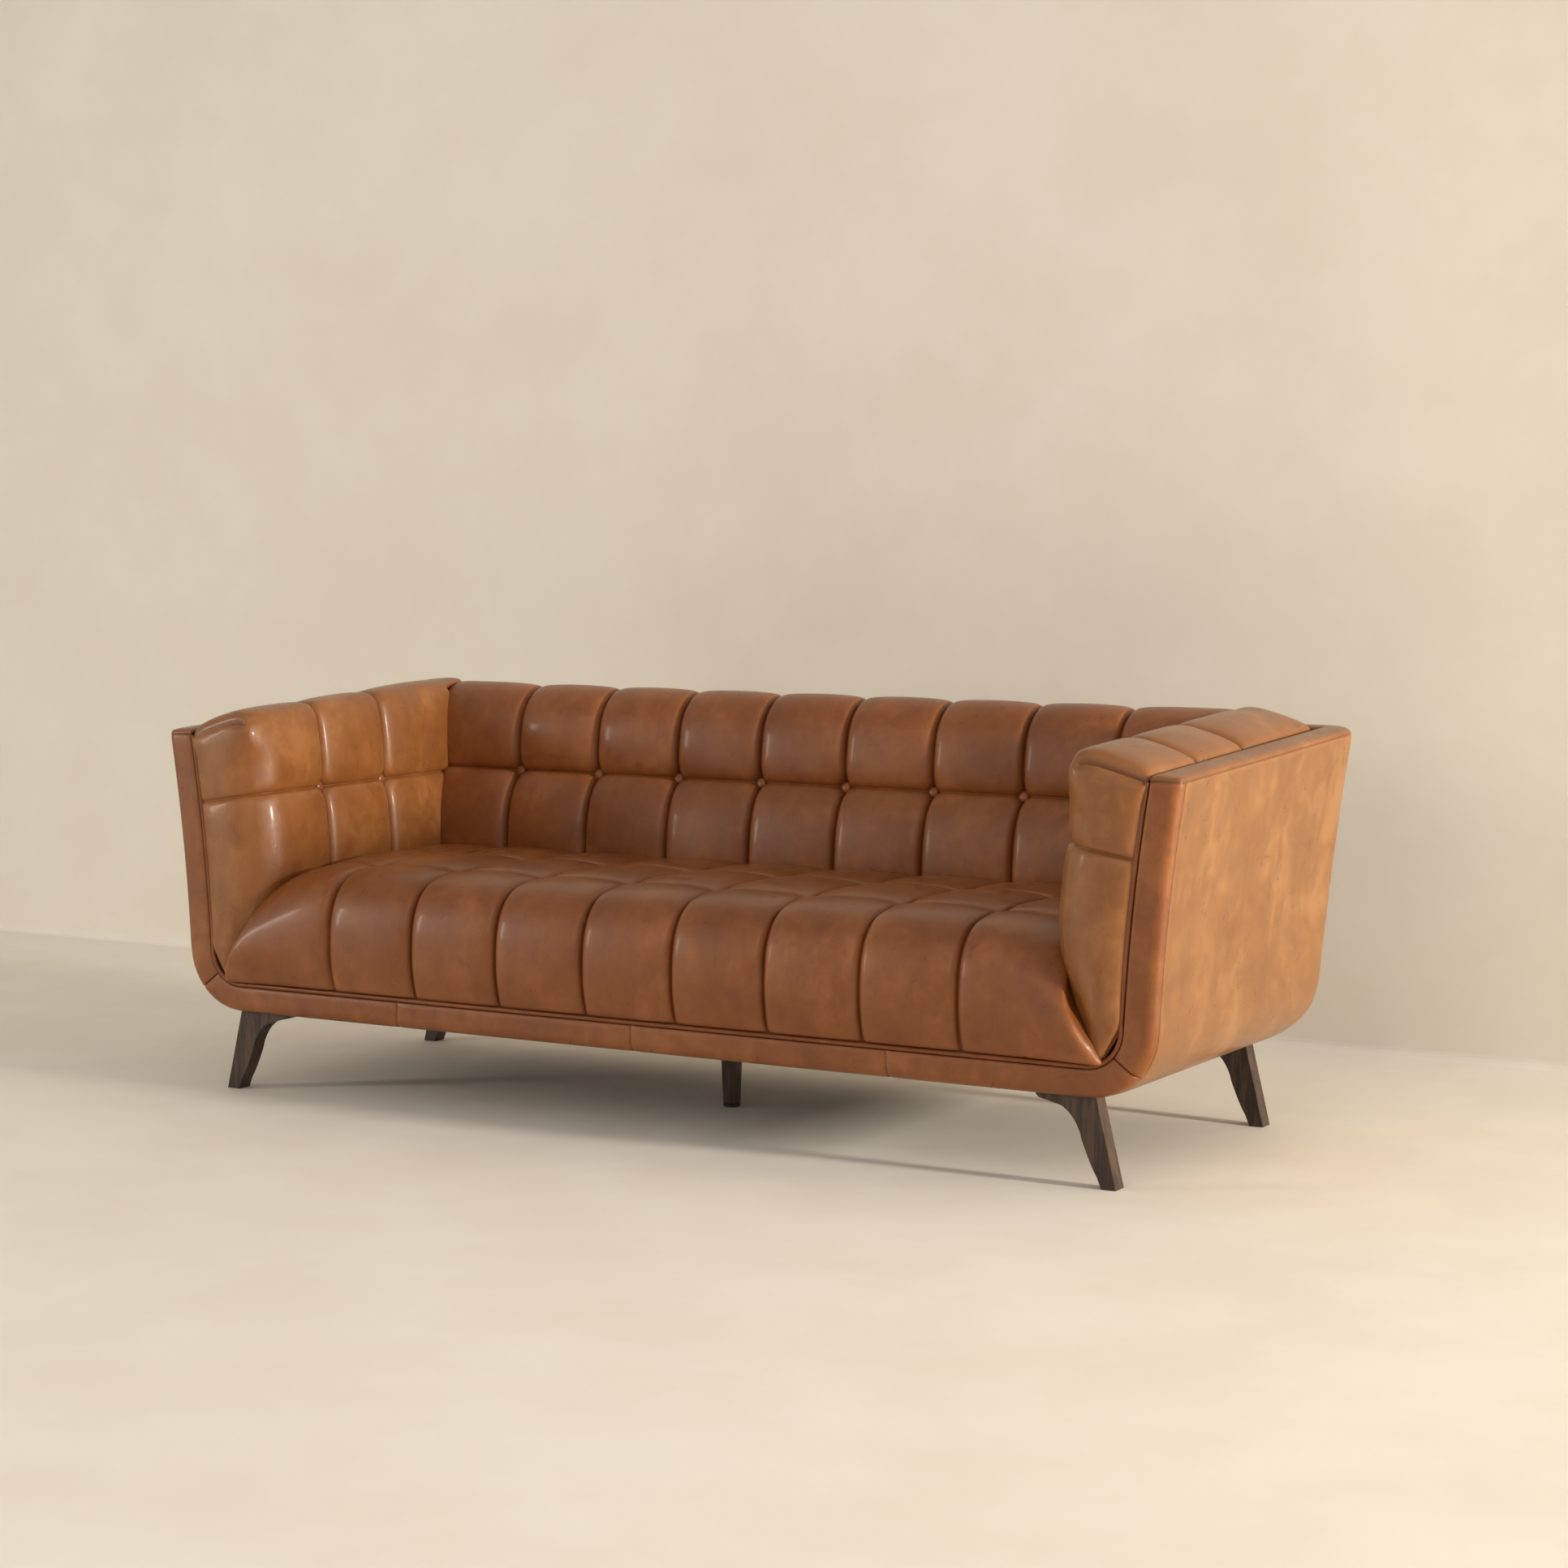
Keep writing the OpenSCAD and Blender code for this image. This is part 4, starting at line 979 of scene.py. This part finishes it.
def facing_piece(start, end, seams=()):
    """A strip of the front facing, rolled over the tub's edge to its seam behind it."""
    r, back = tub().edge_r, tub().edge_back
    flat = tub().facing_w - r
    roll = r * math.pi / 2
    across = rows(end - start, [seam - start for seam in seams], 0.03, (0.002, 0.005))
    along = rows(flat + roll + back - r, (), 0.006, (0.002, 0.005))

    def place(s, t, d):
        outer, inner = front_line(start + s)
        width = (inner - outer).length
        inward = (inner - outer) / width
        sink = LEATHER_THICK * (1 - d)
        if t <= flat:
            reach, depth = mix(width, r, t / flat), sink
        elif t <= flat + roll:
            turn = (t - flat) / r
            reach, depth = r - (r - sink) * math.sin(turn), r - (r - sink) * math.cos(turn)
        else:
            reach, depth = sink, r + t - flat - roll
        spot = outer + inward * reach
        return row(spot.x, depth, spot.y)

    mesh = slab(across, along)
    borders = [
        Seam(lambda s, t, d: near(t, (0, along[-1])), 0.012),
        Seam(lambda s, t, d: near(s, (0, across[-1])), 0.007, pull=0.7),
        Seam(lambda s, t, d: near(start + s, seams), 0.007, pull=0.7),
    ]
    skin(mesh, place, borders[: 3 if seams else 2], 0.003, 0.0012)
    return mesh


def skin(mesh, place, seams, crown, groove):
    """Shapes a block into a flat leather panel that dips a little at its seams."""
    pillow(mesh, place, upper, seams, crown, groove=groove)


def seam_x(z):
    """X of the upright seams between the side and rear panels."""
    return REAR_SEAM_X - 0.02 * (1 - ramp(z, UNDERSIDE, corner_top()))


def side_spot(s, z, sink, straight, roll):
    """A place on the side panel: s runs from its front seam round the rear corner to its rear seam."""
    half, deep = half_width(z), rear_depth(z)
    r = min(tub().post_r, 0.75 * (half - seam_x(z)))
    front = tub().edge_back
    if s <= straight:
        return half - sink, mix(front, deep - r, s / straight)
    if s <= straight + roll:
        turn = (s - straight) / roll * math.pi / 2
        return half - r + (r - sink) * math.cos(turn), deep - r + (r - sink) * math.sin(turn)
    return mix(half - r, seam_x(z), (s - straight - roll) / 0.08), deep - sink


def side_piece(side):
    """A side panel: under the bottom corner, up to the rim and round the rear corner."""
    straight, roll = 0.70, 0.094
    arc_length = tub().corner_r * math.pi / 2
    height = arc_length + RIM_FRONT - corner_top()
    across = rows(straight + roll + 0.08, (), 0.03, PANEL_ROWS)
    across = sorted({*across, *(straight + roll * i / 8 for i in range(9))})
    along = rows(height, (), 0.02, PANEL_ROWS)

    def place(s, t, d):
        if t < arc_length:
            turn = max(t, 0.03 * tub().corner_r) / tub().corner_r
            z = corner_top() - tub().corner_r * math.cos(turn)
            return bend(s, z, d)
        return bend(s, corner_top() + t - arc_length, d)

    def bend(s, z, d):
        x, depth = side_spot(s, z, LEATHER_THICK * (1 - d), straight, roll)
        lift = rim_rise(depth) * max(0.0, (z - corner_top()) / (RIM_FRONT - corner_top()))
        x, depth = side_spot(s, z + lift, LEATHER_THICK * (1 - d), straight, roll)
        up = 0.0
        if z < corner_top():
            up = LEATHER_THICK * (1 - d) * math.sqrt(max(0.0, 1 - ((z - UNDERSIDE) / tub().corner_r)))
        return row(x * side, depth, z + lift + up)

    mesh = slab(across, along)
    skin(mesh, place, [Seam(outline(across, along), 0.02)], 0.003, 0.0015)
    return mesh


def rear_piece():
    """The rear panel: from under the rear corner up to the rim."""
    heights = [UNDERSIDE + 0.078 * (1 - math.cos(i * math.pi / 32)) for i in range(17)]
    heights += [mix(heights[-1], RIM_FRONT + tub().rim_rise, (i + 1) / 20) for i in range(20)]
    line = Line([Vector((rear_depth(z), z)) for z in heights], smooth=False)
    across = rows(2.0, (), 0.05, PANEL_ROWS)
    along = rows(line.length, (), 0.02, PANEL_ROWS)

    def place(s, t, d):
        point, heading = line.point(t), line.heading(t)
        spot = point + Vector((-heading.y, heading.x)) * LEATHER_THICK * (1 - d)
        return row((s - 1) * seam_x(point.y), spot.x, spot.y)

    mesh = slab(across, along)
    skin(mesh, place, [Seam(outline(across, along), 0.02)], 0.003, 0.0015)
    return mesh


def rim_path():
    """The rim's outer edge seen from above, as X and depth, from the right front round to the left front."""

    def edge(depth):
        return half_width(RIM_FRONT + rim_rise(depth))

    r = tub().post_r
    right = [Vector((edge(d), d)) for d in (mix(0.001, TUB_DEPTH - r, i / 40) for i in range(41))]
    half = right[-1].x
    right += [Vector((half - r + x, TUB_DEPTH - r + y)) for x, y in arc((0, 0), r, 0, 90, 12)][1:]
    left = [Vector((-p.x, p.y)) for p in reversed(right)]
    return Line([*right, Vector((0.0, TUB_DEPTH)), *left], smooth=False)


def rim_piece():
    """The band over the rim, in one length round both rear corners."""
    line = rim_path()
    r = tub().post_r
    corner = line.where(lambda p: p.y >= TUB_DEPTH - r - 1e-6)
    turn = r * math.pi / 2
    bends = [corner + turn * i / 8 for i in range(9)]
    bends += [line.length - b for b in bends]
    across = sorted({*rows(line.length, (), 0.03, (0.002, 0.005, 0.01)), *bends})
    wide = tub().facing_w
    along = rows(wide, (), 0.005, (0.002, 0.004))

    def inner_spot(at):
        """Inner edge of the band, square in its rear corners."""
        point, heading = line.point(at), line.heading(at)
        return point + Vector((-heading.y, heading.x)) * wide

    def eased(s, t, r=0.012):
        """Rounds the outer corners of both front ends."""
        end = min(s, line.length - s)
        a, b = r - end, r - t
        if a <= 0 or b <= 0:
            return s, t
        shrink = max(a, b) / math.hypot(a, b)
        end, t = r - a * shrink, r - b * shrink
        return (end if s < line.length / 2 else line.length - end), t

    def place(s, t, d):
        s, t = eased(s, t)
        outer, inner = line.point(s), inner_spot(s)
        spot = outer.lerp(inner, t / wide)
        z = RIM_FRONT + rim_rise(spot.y) + 0.005 * t / wide - LEATHER_THICK * (1 - d)
        return row(spot.x, spot.y, z)

    mesh = slab(across, along)
    skin(mesh, place, [Seam(outline(across, along), 0.026)], 0.0085, 0.0)
    return mesh


def cord(name, points, radius, material):
    """A round cord along points."""
    curve = bpy.data.curves.new(name, "CURVE")
    curve.dimensions = "3D"
    curve.bevel_depth = radius
    curve.bevel_resolution = 4
    curve.use_fill_caps = True
    spline = curve.splines.new("POLY")
    spline.points.add(len(points) - 1)
    for spot, point in zip(spline.points, points):
        spot.co = (*point, 1)
    curve.materials.append(material)
    piece = new_object(name, curve)
    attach(piece, "sofa")
    return piece


def stitches(mesh, line, normal, length=0.0042, gap=0.0022, thick=0.0007):
    """A row of thread stitches along a line of places, half sunk in the leather."""
    path = Line(line, smooth=False)
    count = int(path.length / (length + gap))
    single = bmesh.new()
    shape = Matrix.Diagonal((length / 2, thick, thick, 1))
    bmesh.ops.create_uvsphere(single, u_segments=6, v_segments=4, radius=1, matrix=shape)
    stitch = bpy.data.meshes.new("stitch")
    single.to_mesh(stitch)
    single.free()
    for i in range(count):
        at = (i + 0.5) * path.length / count
        heading = path.heading(at)
        up = normal(path.point(at))
        turn = Matrix((heading, up.cross(heading).normalized(), up)).transposed().to_4x4()
        place = Matrix.Translation(path.point(at)) @ turn
        stitch.transform(place)
        mesh.from_mesh(stitch)
        stitch.transform(place.inverted())
    bpy.data.meshes.remove(stitch)


def button(mesh, centre, normal, r, height):
    """A covered button: a domed cap with its edge turned under."""
    turn = normal.to_track_quat("Z", "Y")
    rim = [(math.cos(a) * r, math.sin(a) * height) for a in (math.radians(d) for d in range(90, -61, -15))]
    profile = [(x * (0.0 if i == 0 else 1.0), z) for i, (x, z) in enumerate(rim)] + [(0.0, rim[-1][1])]
    verts = [mesh.verts.new(centre + turn @ Vector((x, 0, z))) for x, z in profile]
    edges = [mesh.edges.new(pair) for pair in zip(verts, verts[1:])]
    bmesh.ops.spin(
        mesh, geom=[*verts, *edges], cent=centre, axis=normal, dvec=(0, 0, 0), angle=2 * math.pi, steps=24,
        use_merge=True, use_duplicate=False,
    )
    bmesh.ops.remove_doubles(mesh, verts=mesh.verts[:], dist=1e-6)
    face_out(mesh)


def softened(node, width):
    """A copy of a CAD node with its edges rounded."""
    mesh = bmesh.new()
    mesh.from_mesh(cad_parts[node].data)
    bmesh.ops.remove_doubles(mesh, verts=mesh.verts[:], dist=1e-6)
    bmesh.ops.dissolve_limit(mesh, angle_limit=math.radians(1), verts=mesh.verts[:], edges=mesh.edges[:])
    sharp = [e for e in mesh.edges if e.is_manifold and e.calc_face_angle() > math.radians(28)]
    bmesh.ops.bevel(
        mesh, geom=sharp, offset=width, segments=3, profile=0.5, affect="EDGES", material=-1,
        clamp_overlap=True,
    )
    face_out(mesh)
    return mesh


# ---- Operators ----


class SOFA_OT_seat(bpy.types.Operator):
    """Make the bench seat"""

    bl_idname = "sofa.seat"
    bl_label = "Seat"

    def execute(self, context):
        piece = as_object("seat_cushion", seat_piece(), leather("seat_leather", 0.0))
        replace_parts(subdivided(piece), "seat_cover", "seat_foam")
        return {"FINISHED"}


class SOFA_OT_back(bpy.types.Operator):
    """Make the back pad"""

    bl_idname = "sofa.back"
    bl_label = "Back"

    def execute(self, context):
        piece = as_object("back_cushion", back_piece(), leather("back_leather", 3.7))
        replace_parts(subdivided(piece), "back_cover", "back_foam")
        return {"FINISHED"}


class SOFA_OT_arms(bpy.types.Operator):
    """Make both arm pads"""

    bl_idname = "sofa.arms"
    bl_label = "Arms"

    def execute(self, context):
        for side, word in ((-1, "left"), (1, "right")):
            # The arms' leather carries the painted sun tone: a lit copy of the leather.
            material = leather(f"arm_leather_{word}", 7.1 + side, tone=ARM_RIM_PAINTED_SUN)
            piece = as_object(f"arm_cushion_{word}", arm_piece(side), material)
            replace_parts(subdivided(piece), f"arm_cover_{word}", f"arm_foam_{word}")
        return {"FINISHED"}


class SOFA_OT_tub(bpy.types.Operator):
    """Make the outer leather: side and rear panels, rim band and front facing"""

    bl_idname = "sofa.tub"
    bl_label = "Outer leather"

    def execute(self, context):
        for side, word in ((-1, "left"), (1, "right")):
            # The side panels' leather carries the painted sun tone: a lit copy of the leather.
            material = leather(f"side_leather_{word}", 11.3 * side, tone=SIDE_PAINTED_SUN)
            piece = as_object(f"side_panel_{word}", side_piece(side), material)
            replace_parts(subdivided(piece), f"side_cover_{word}")
        piece = as_object("rear_panel", rear_piece(), leather("rear_leather", 17.9))
        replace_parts(subdivided(piece), "rear_cover")
        # The rim band carries the arms' painted sun tone: a lit copy of the leather.
        piece = as_object("rim_band", rim_piece(), leather("rim_leather", 23.1, tone=ARM_RIM_PAINTED_SUN))
        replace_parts(subdivided(piece), "rim_facing_left", "rim_facing_right", "rim_facing_rear")
        low = mitre_place() - 0.0003
        parts = {
            "left": (-facing_end(), -low - 0.0006, ()),
            "right": (low + 0.0006, facing_end(), ()),
            "lower": (-low, low, (-0.543, 0.0, 0.543)),
        }
        for word, (start, end, seams) in parts.items():
            material = leather("facing_leather", 29.7)
            piece = as_object(f"facing_{word}", facing_piece(start, end, seams), material)
            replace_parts(subdivided(piece), f"front_facing_{word}")
        return {"FINISHED"}


class SOFA_OT_trim(bpy.types.Operator):
    """Make the welt cord, the topstitching and the covered buttons"""

    bl_idname = "sofa.trim"
    bl_label = "Welt, stitching and buttons"

    def execute(self, context):
        welt = leather("welt_cord_leather", 31.0, puffed=False, tone=(0.85, 0.8, 0.8), grain=0.6)
        end = facing_end() - 0.002
        points = []
        for i in range(401):
            outer, inner = front_line(mix(-end, end, i / 400))
            spot = inner + (inner - outer).normalized() * pads().welt_r
            points.append(row(spot.x, 0.0012, spot.y))
        piece = cord("welt_cord", points, pads().welt_r, welt)
        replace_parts(piece, "front_welt")
        self.stitching()
        self.buttons()
        return {"FINISHED"}

    def stitching(self):
        mesh = bmesh.new()
        for side in (-1, 1):
            facing = []
            for i in range(61):
                outer, inner = front_line(side * mix(mitre_place(-80), facing_end() - 0.006, i / 60))
                spot = row(outer.x, tub().edge_back - 0.0035, outer.y)
                facing.append(spot + self.outward(outer, side) * 0.0004)
            stitches(mesh, facing, lambda p, side=side: self.outward(Vector((p.x, p.z)), side))
            under = []
            for i in range(61):
                depth = mix(0.030, TUB_DEPTH - 0.07, i / 60)
                z = RIM_FRONT + rim_rise(depth) - 0.008
                under.append(row((half_width(z) + 0.0016) * side, depth, z))
            stitches(mesh, under, lambda p, side=side: Vector((side, 0, 0)))
        piece = as_object("topstitching", mesh, plain("thread", *THREAD, 400, (0.5, 0.7)))

    def outward(self, spot, side):
        if spot.y > corner_top():
            return Vector((side, 0, 0))
        centre = Vector((REAR_SEAM_X * side, corner_top()))
        way = (spot - centre).normalized()
        return Vector((way.x, 0, way.y))

    def buttons(self):
        material = leather("button_leather", 41.0, puffed=False, grain=0.5)
        line = back_profile()
        at = line.where(lambda p: p.y >= pads().tuft_z)
        spot, heading = line.point(at), line.heading(at, 0.03)
        normal = Vector((0, -heading.y, heading.x)).normalized()
        mesh = bmesh.new()
        for x in seam_places():
            centre = row(x, spot.x, spot.y) - normal * BUTTON_SINK
            button(mesh, centre, normal, pads().button_r, BUTTON_RISE)
        piece = as_object("back_tuft_buttons", mesh, material)
        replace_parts(piece, "back_buttons")
        for side, word in ((-1, "left"), (1, "right")):
            mesh = bmesh.new()
            line = arm_inner()
            spot = line.point(line.where(lambda p: p.y >= pads().arm_tuft_z))
            normal = Vector((-side, 0, 0.12)).normalized()
            for depth in ARM_SEAMS:
                lift = rim_rise(depth) * ramp(spot.y, 0.60, 0.72)
                centre = row(spot.x * side, depth, spot.y + lift) - normal * BUTTON_SINK
                button(mesh, centre, normal, pads().button_r, BUTTON_RISE)
            piece = as_object(f"arm_tuft_buttons_{word}", mesh, material)
            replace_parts(piece, f"arm_buttons_{word}")


class SOFA_OT_legs(bpy.types.Operator):
    """Make the walnut legs with softened edges"""

    bl_idname = "sofa.legs"
    bl_label = "Legs"

    def execute(self, context):
        material = wood("leg_walnut", finish().walnut, finish().walnut_dark, (1.0, 1.0, 0.10), 70.0)
        for word in ("front_left", "front_right", "rear_left", "rear_right"):
            piece = as_object(f"splayed_leg_{word}", softened(f"leg_{word}", 0.0025), material)
            tidy_shading(piece)
            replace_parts(piece, f"leg_{word}")
        piece = as_object("middle_leg", softened("centre_leg", 0.0015), material)
        tidy_shading(piece)
        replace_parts(piece, "centre_leg")
        return {"FINISHED"}


def tidy_shading(piece):
    """Keeps broad flat faces flat where they meet their rounded edges."""
    modifier = piece.modifiers.new("Weighted normals", "WEIGHTED_NORMAL")
    modifier.keep_sharp = True


def node_finish(slot):
    """The finish of a CAD node that stays in view, by its slot."""
    legs = (finish().walnut, finish().walnut_dark)
    finishes = {
        "timber": (wood, "frame_timber", (0.55, 0.36, 0.19), (0.36, 0.20, 0.09), (0.08, 1.0, 1.0), 55.0),
        "plywood": (wood, "frame_plywood", (0.62, 0.44, 0.26), (0.42, 0.26, 0.13), (1.0, 0.15, 1.0), 90.0),
        "walnut": (wood, "leg_walnut", *legs, (1.0, 1.0, 0.10), 70.0),
        "leather": (leather, "spare_leather", 47.0, False),
        "welt_leather": (leather, "spare_leather", 47.0, False),
        "steel": (plain, "sprung_steel", (0.3, 0.3, 0.31), (0.42, 0.42, 0.43), 220, (0.25, 0.45), 1.0, 0.0001),
        "foam": (plain, "cushion_foam", (0.70, 0.62, 0.42), (0.82, 0.75, 0.55), 500, (0.85, 0.95), 0.0, 0.0008),
        "glide_plastic": (plain, "glide_nylon", (0.012,) * 3, (0.03,) * 3, 300, (0.35, 0.5), 0.0, 0.0001),
        "webbing": (woven, "seat_webbing", (0.05, 0.045, 0.04), (0.13, 0.12, 0.10), 8000),
        "burlap": (woven, "deck_burlap", (0.30, 0.20, 0.10), (0.55, 0.42, 0.25), 5000),
    }
    cloth = (woven, "black_dust_cloth", (0.010, 0.010, 0.011), (0.03, 0.03, 0.032), 12000)
    make, *values = finishes.get(slot, cloth)
    return make(*values)


class SOFA_OT_frame(bpy.types.Operator):
    """Give every part of the frame its finish"""

    bl_idname = "sofa.frame"
    bl_label = "Frame finishes"

    def execute(self, context):
        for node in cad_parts.values():
            for slot in node.material_slots:
                slot.material = node_finish(slot.material.name.split(".")[0])
        return {"FINISHED"}


CAMERA_PLACE = (3.366, -5.581, 1.223)
CAMERA_TURN = (math.radians(90 - 5.195), 0.0, math.radians(30.363))
CAMERA_LENS = 76.96
WALL_Y = 1.16


def area_light(name, place, target, wide, tall, power, colour):
    light = bpy.data.lights.new(name, "AREA")
    light.shape = "RECTANGLE"
    light.size = wide
    light.size_y = tall
    light.energy = power
    light.color = colour
    lamp = new_object(name, light)
    lamp.location = place
    lamp.rotation_euler = (Vector(target) - Vector(place)).to_track_quat("-Z", "Y").to_euler()


def open_from_behind(material):
    """Let the camera see through the stage from its rear side, so that the sofa's back can be looked at."""
    n = Nodes(material.node_tree)
    shader = next(node for node in n.tree.nodes if node.type == "BSDF_PRINCIPLED")
    output = next(node for node in n.tree.nodes if node.type == "OUTPUT_MATERIAL")
    rear = n.add("ShaderNodeNewGeometry").outputs["Backfacing"]
    seen = n.add("ShaderNodeLightPath").outputs["Is Camera Ray"]
    clear = n.add("ShaderNodeBsdfTransparent").outputs["BSDF"]
    open_to = n.maths("MULTIPLY", rear, seen)
    both = n.add("ShaderNodeMixShader", {0: open_to, 1: shader.outputs["BSDF"], 2: clear})
    n.tree.links.new(both.outputs[0], output.inputs["Surface"])


class SOFA_OT_stage(bpy.types.Operator):
    """Make the floor, the wall, the lights and the camera"""

    bl_idname = "sofa.stage"
    bl_label = "Stage"

    def execute(self, context):
        mesh = bmesh.new()
        floor = bmesh.ops.create_grid(mesh, x_segments=1, y_segments=1, size=9)["verts"]
        bmesh.ops.translate(mesh, vec=(0, WALL_Y - 9, -0.0002), verts=floor)
        lip = [e for e in mesh.edges if all(v.co.y > WALL_Y - 0.001 for v in e.verts)]
        wall = bmesh.ops.extrude_edge_only(mesh, edges=lip)["geom"]
        bmesh.ops.translate(mesh, vec=(0, 0.0, 5), verts=[g for g in wall if isinstance(g, bmesh.types.BMVert)])
        bmesh.ops.bevel(
            mesh, geom=lip, offset=0.02, segments=4, profile=0.5, affect="EDGES", material=-1
        )
        data = bpy.data.meshes.new("studio")
        mesh.to_mesh(data)
        mesh.free()
        plaster = plain("studio_plaster", finish().plaster, finish().floor, 3.0, (0.8, 0.9), bump=0.002)
        open_from_behind(plaster)
        data.materials.append(plaster)
        studio = new_object("studio", data)
        warm, soft = (1.0, 0.91, 0.79), (1.0, 0.95, 0.88)
        area_light("key", (9.0, -0.25, 2.15), (0.0, 0.0, 0.45), 0.7, 0.7, 830, warm)
        area_light("front_fill", (0.5, -7.0, 2.6), (0, 0, 0.3), 4.0, 1.5, 42, (1.0, 0.88, 0.70))
        area_light("left_strip", (-4.2, -3.4, 1.5), (0, 0, 0.5), 0.30, 1.5, 56, (1.0, 0.92, 0.80))
        area_light("floor_wash", (0.5, -4.2, 3.6), (0.3, -2.6, 0), 3.0, 2.0, 18, soft)
        world = bpy.data.worlds.new("studio_air")
        world.use_nodes = True
        world.node_tree.nodes["Background"].inputs["Color"].default_value = (1.0, 0.985, 0.95, 1)
        world.node_tree.nodes["Background"].inputs["Strength"].default_value = 0.42
        context.scene.view_settings.view_transform = "Standard"
        context.scene.world = world
        camera = bpy.data.cameras.new("camera")
        camera.lens = CAMERA_LENS
        camera.sensor_width = 36
        eye = new_object("camera", camera)
        eye.location = CAMERA_PLACE
        eye.rotation_euler = CAMERA_TURN
        context.scene.camera = eye
        return {"FINISHED"}


OPERATORS = (
    SOFA_OT_stage,
    SOFA_OT_seat,
    SOFA_OT_back,
    SOFA_OT_arms,
    SOFA_OT_tub,
    SOFA_OT_trim,
    SOFA_OT_legs,
    SOFA_OT_frame,
)
GROUPS = {"sofa_tub": SofaTub, "sofa_padding": SofaPadding, "sofa_finish": SofaFinish}


class SOFA_PT_panel(bpy.types.Panel):
    """Sizes, colours and the buttons that make each piece"""

    bl_idname = "SOFA_PT_panel"
    bl_label = "Sofa"
    bl_space_type = "VIEW_3D"
    bl_region_type = "UI"
    bl_category = "Sofa"

    def draw(self, context):
        for name, group in GROUPS.items():
            box = self.layout.box()
            for prop in group.__annotations__:
                box.prop(getattr(context.scene, name), prop)
        for operator in OPERATORS:
            self.layout.operator(operator.bl_idname)


def register():
    for cls in (*GROUPS.values(), *OPERATORS, SOFA_PT_panel):
        bpy.utils.register_class(cls)
    for name, group in GROUPS.items():
        setattr(bpy.types.Scene, name, bpy.props.PointerProperty(type=group))


def unregister():
    for name in GROUPS:
        delattr(bpy.types.Scene, name)
    for cls in reversed((*GROUPS.values(), *OPERATORS, SOFA_PT_panel)):
        bpy.utils.unregister_class(cls)


def main():
    register()
    for operator in OPERATORS:
        group, name = operator.bl_idname.split(".")
        getattr(getattr(bpy.ops, group), name)()


if __name__ == "__main__":
    main()
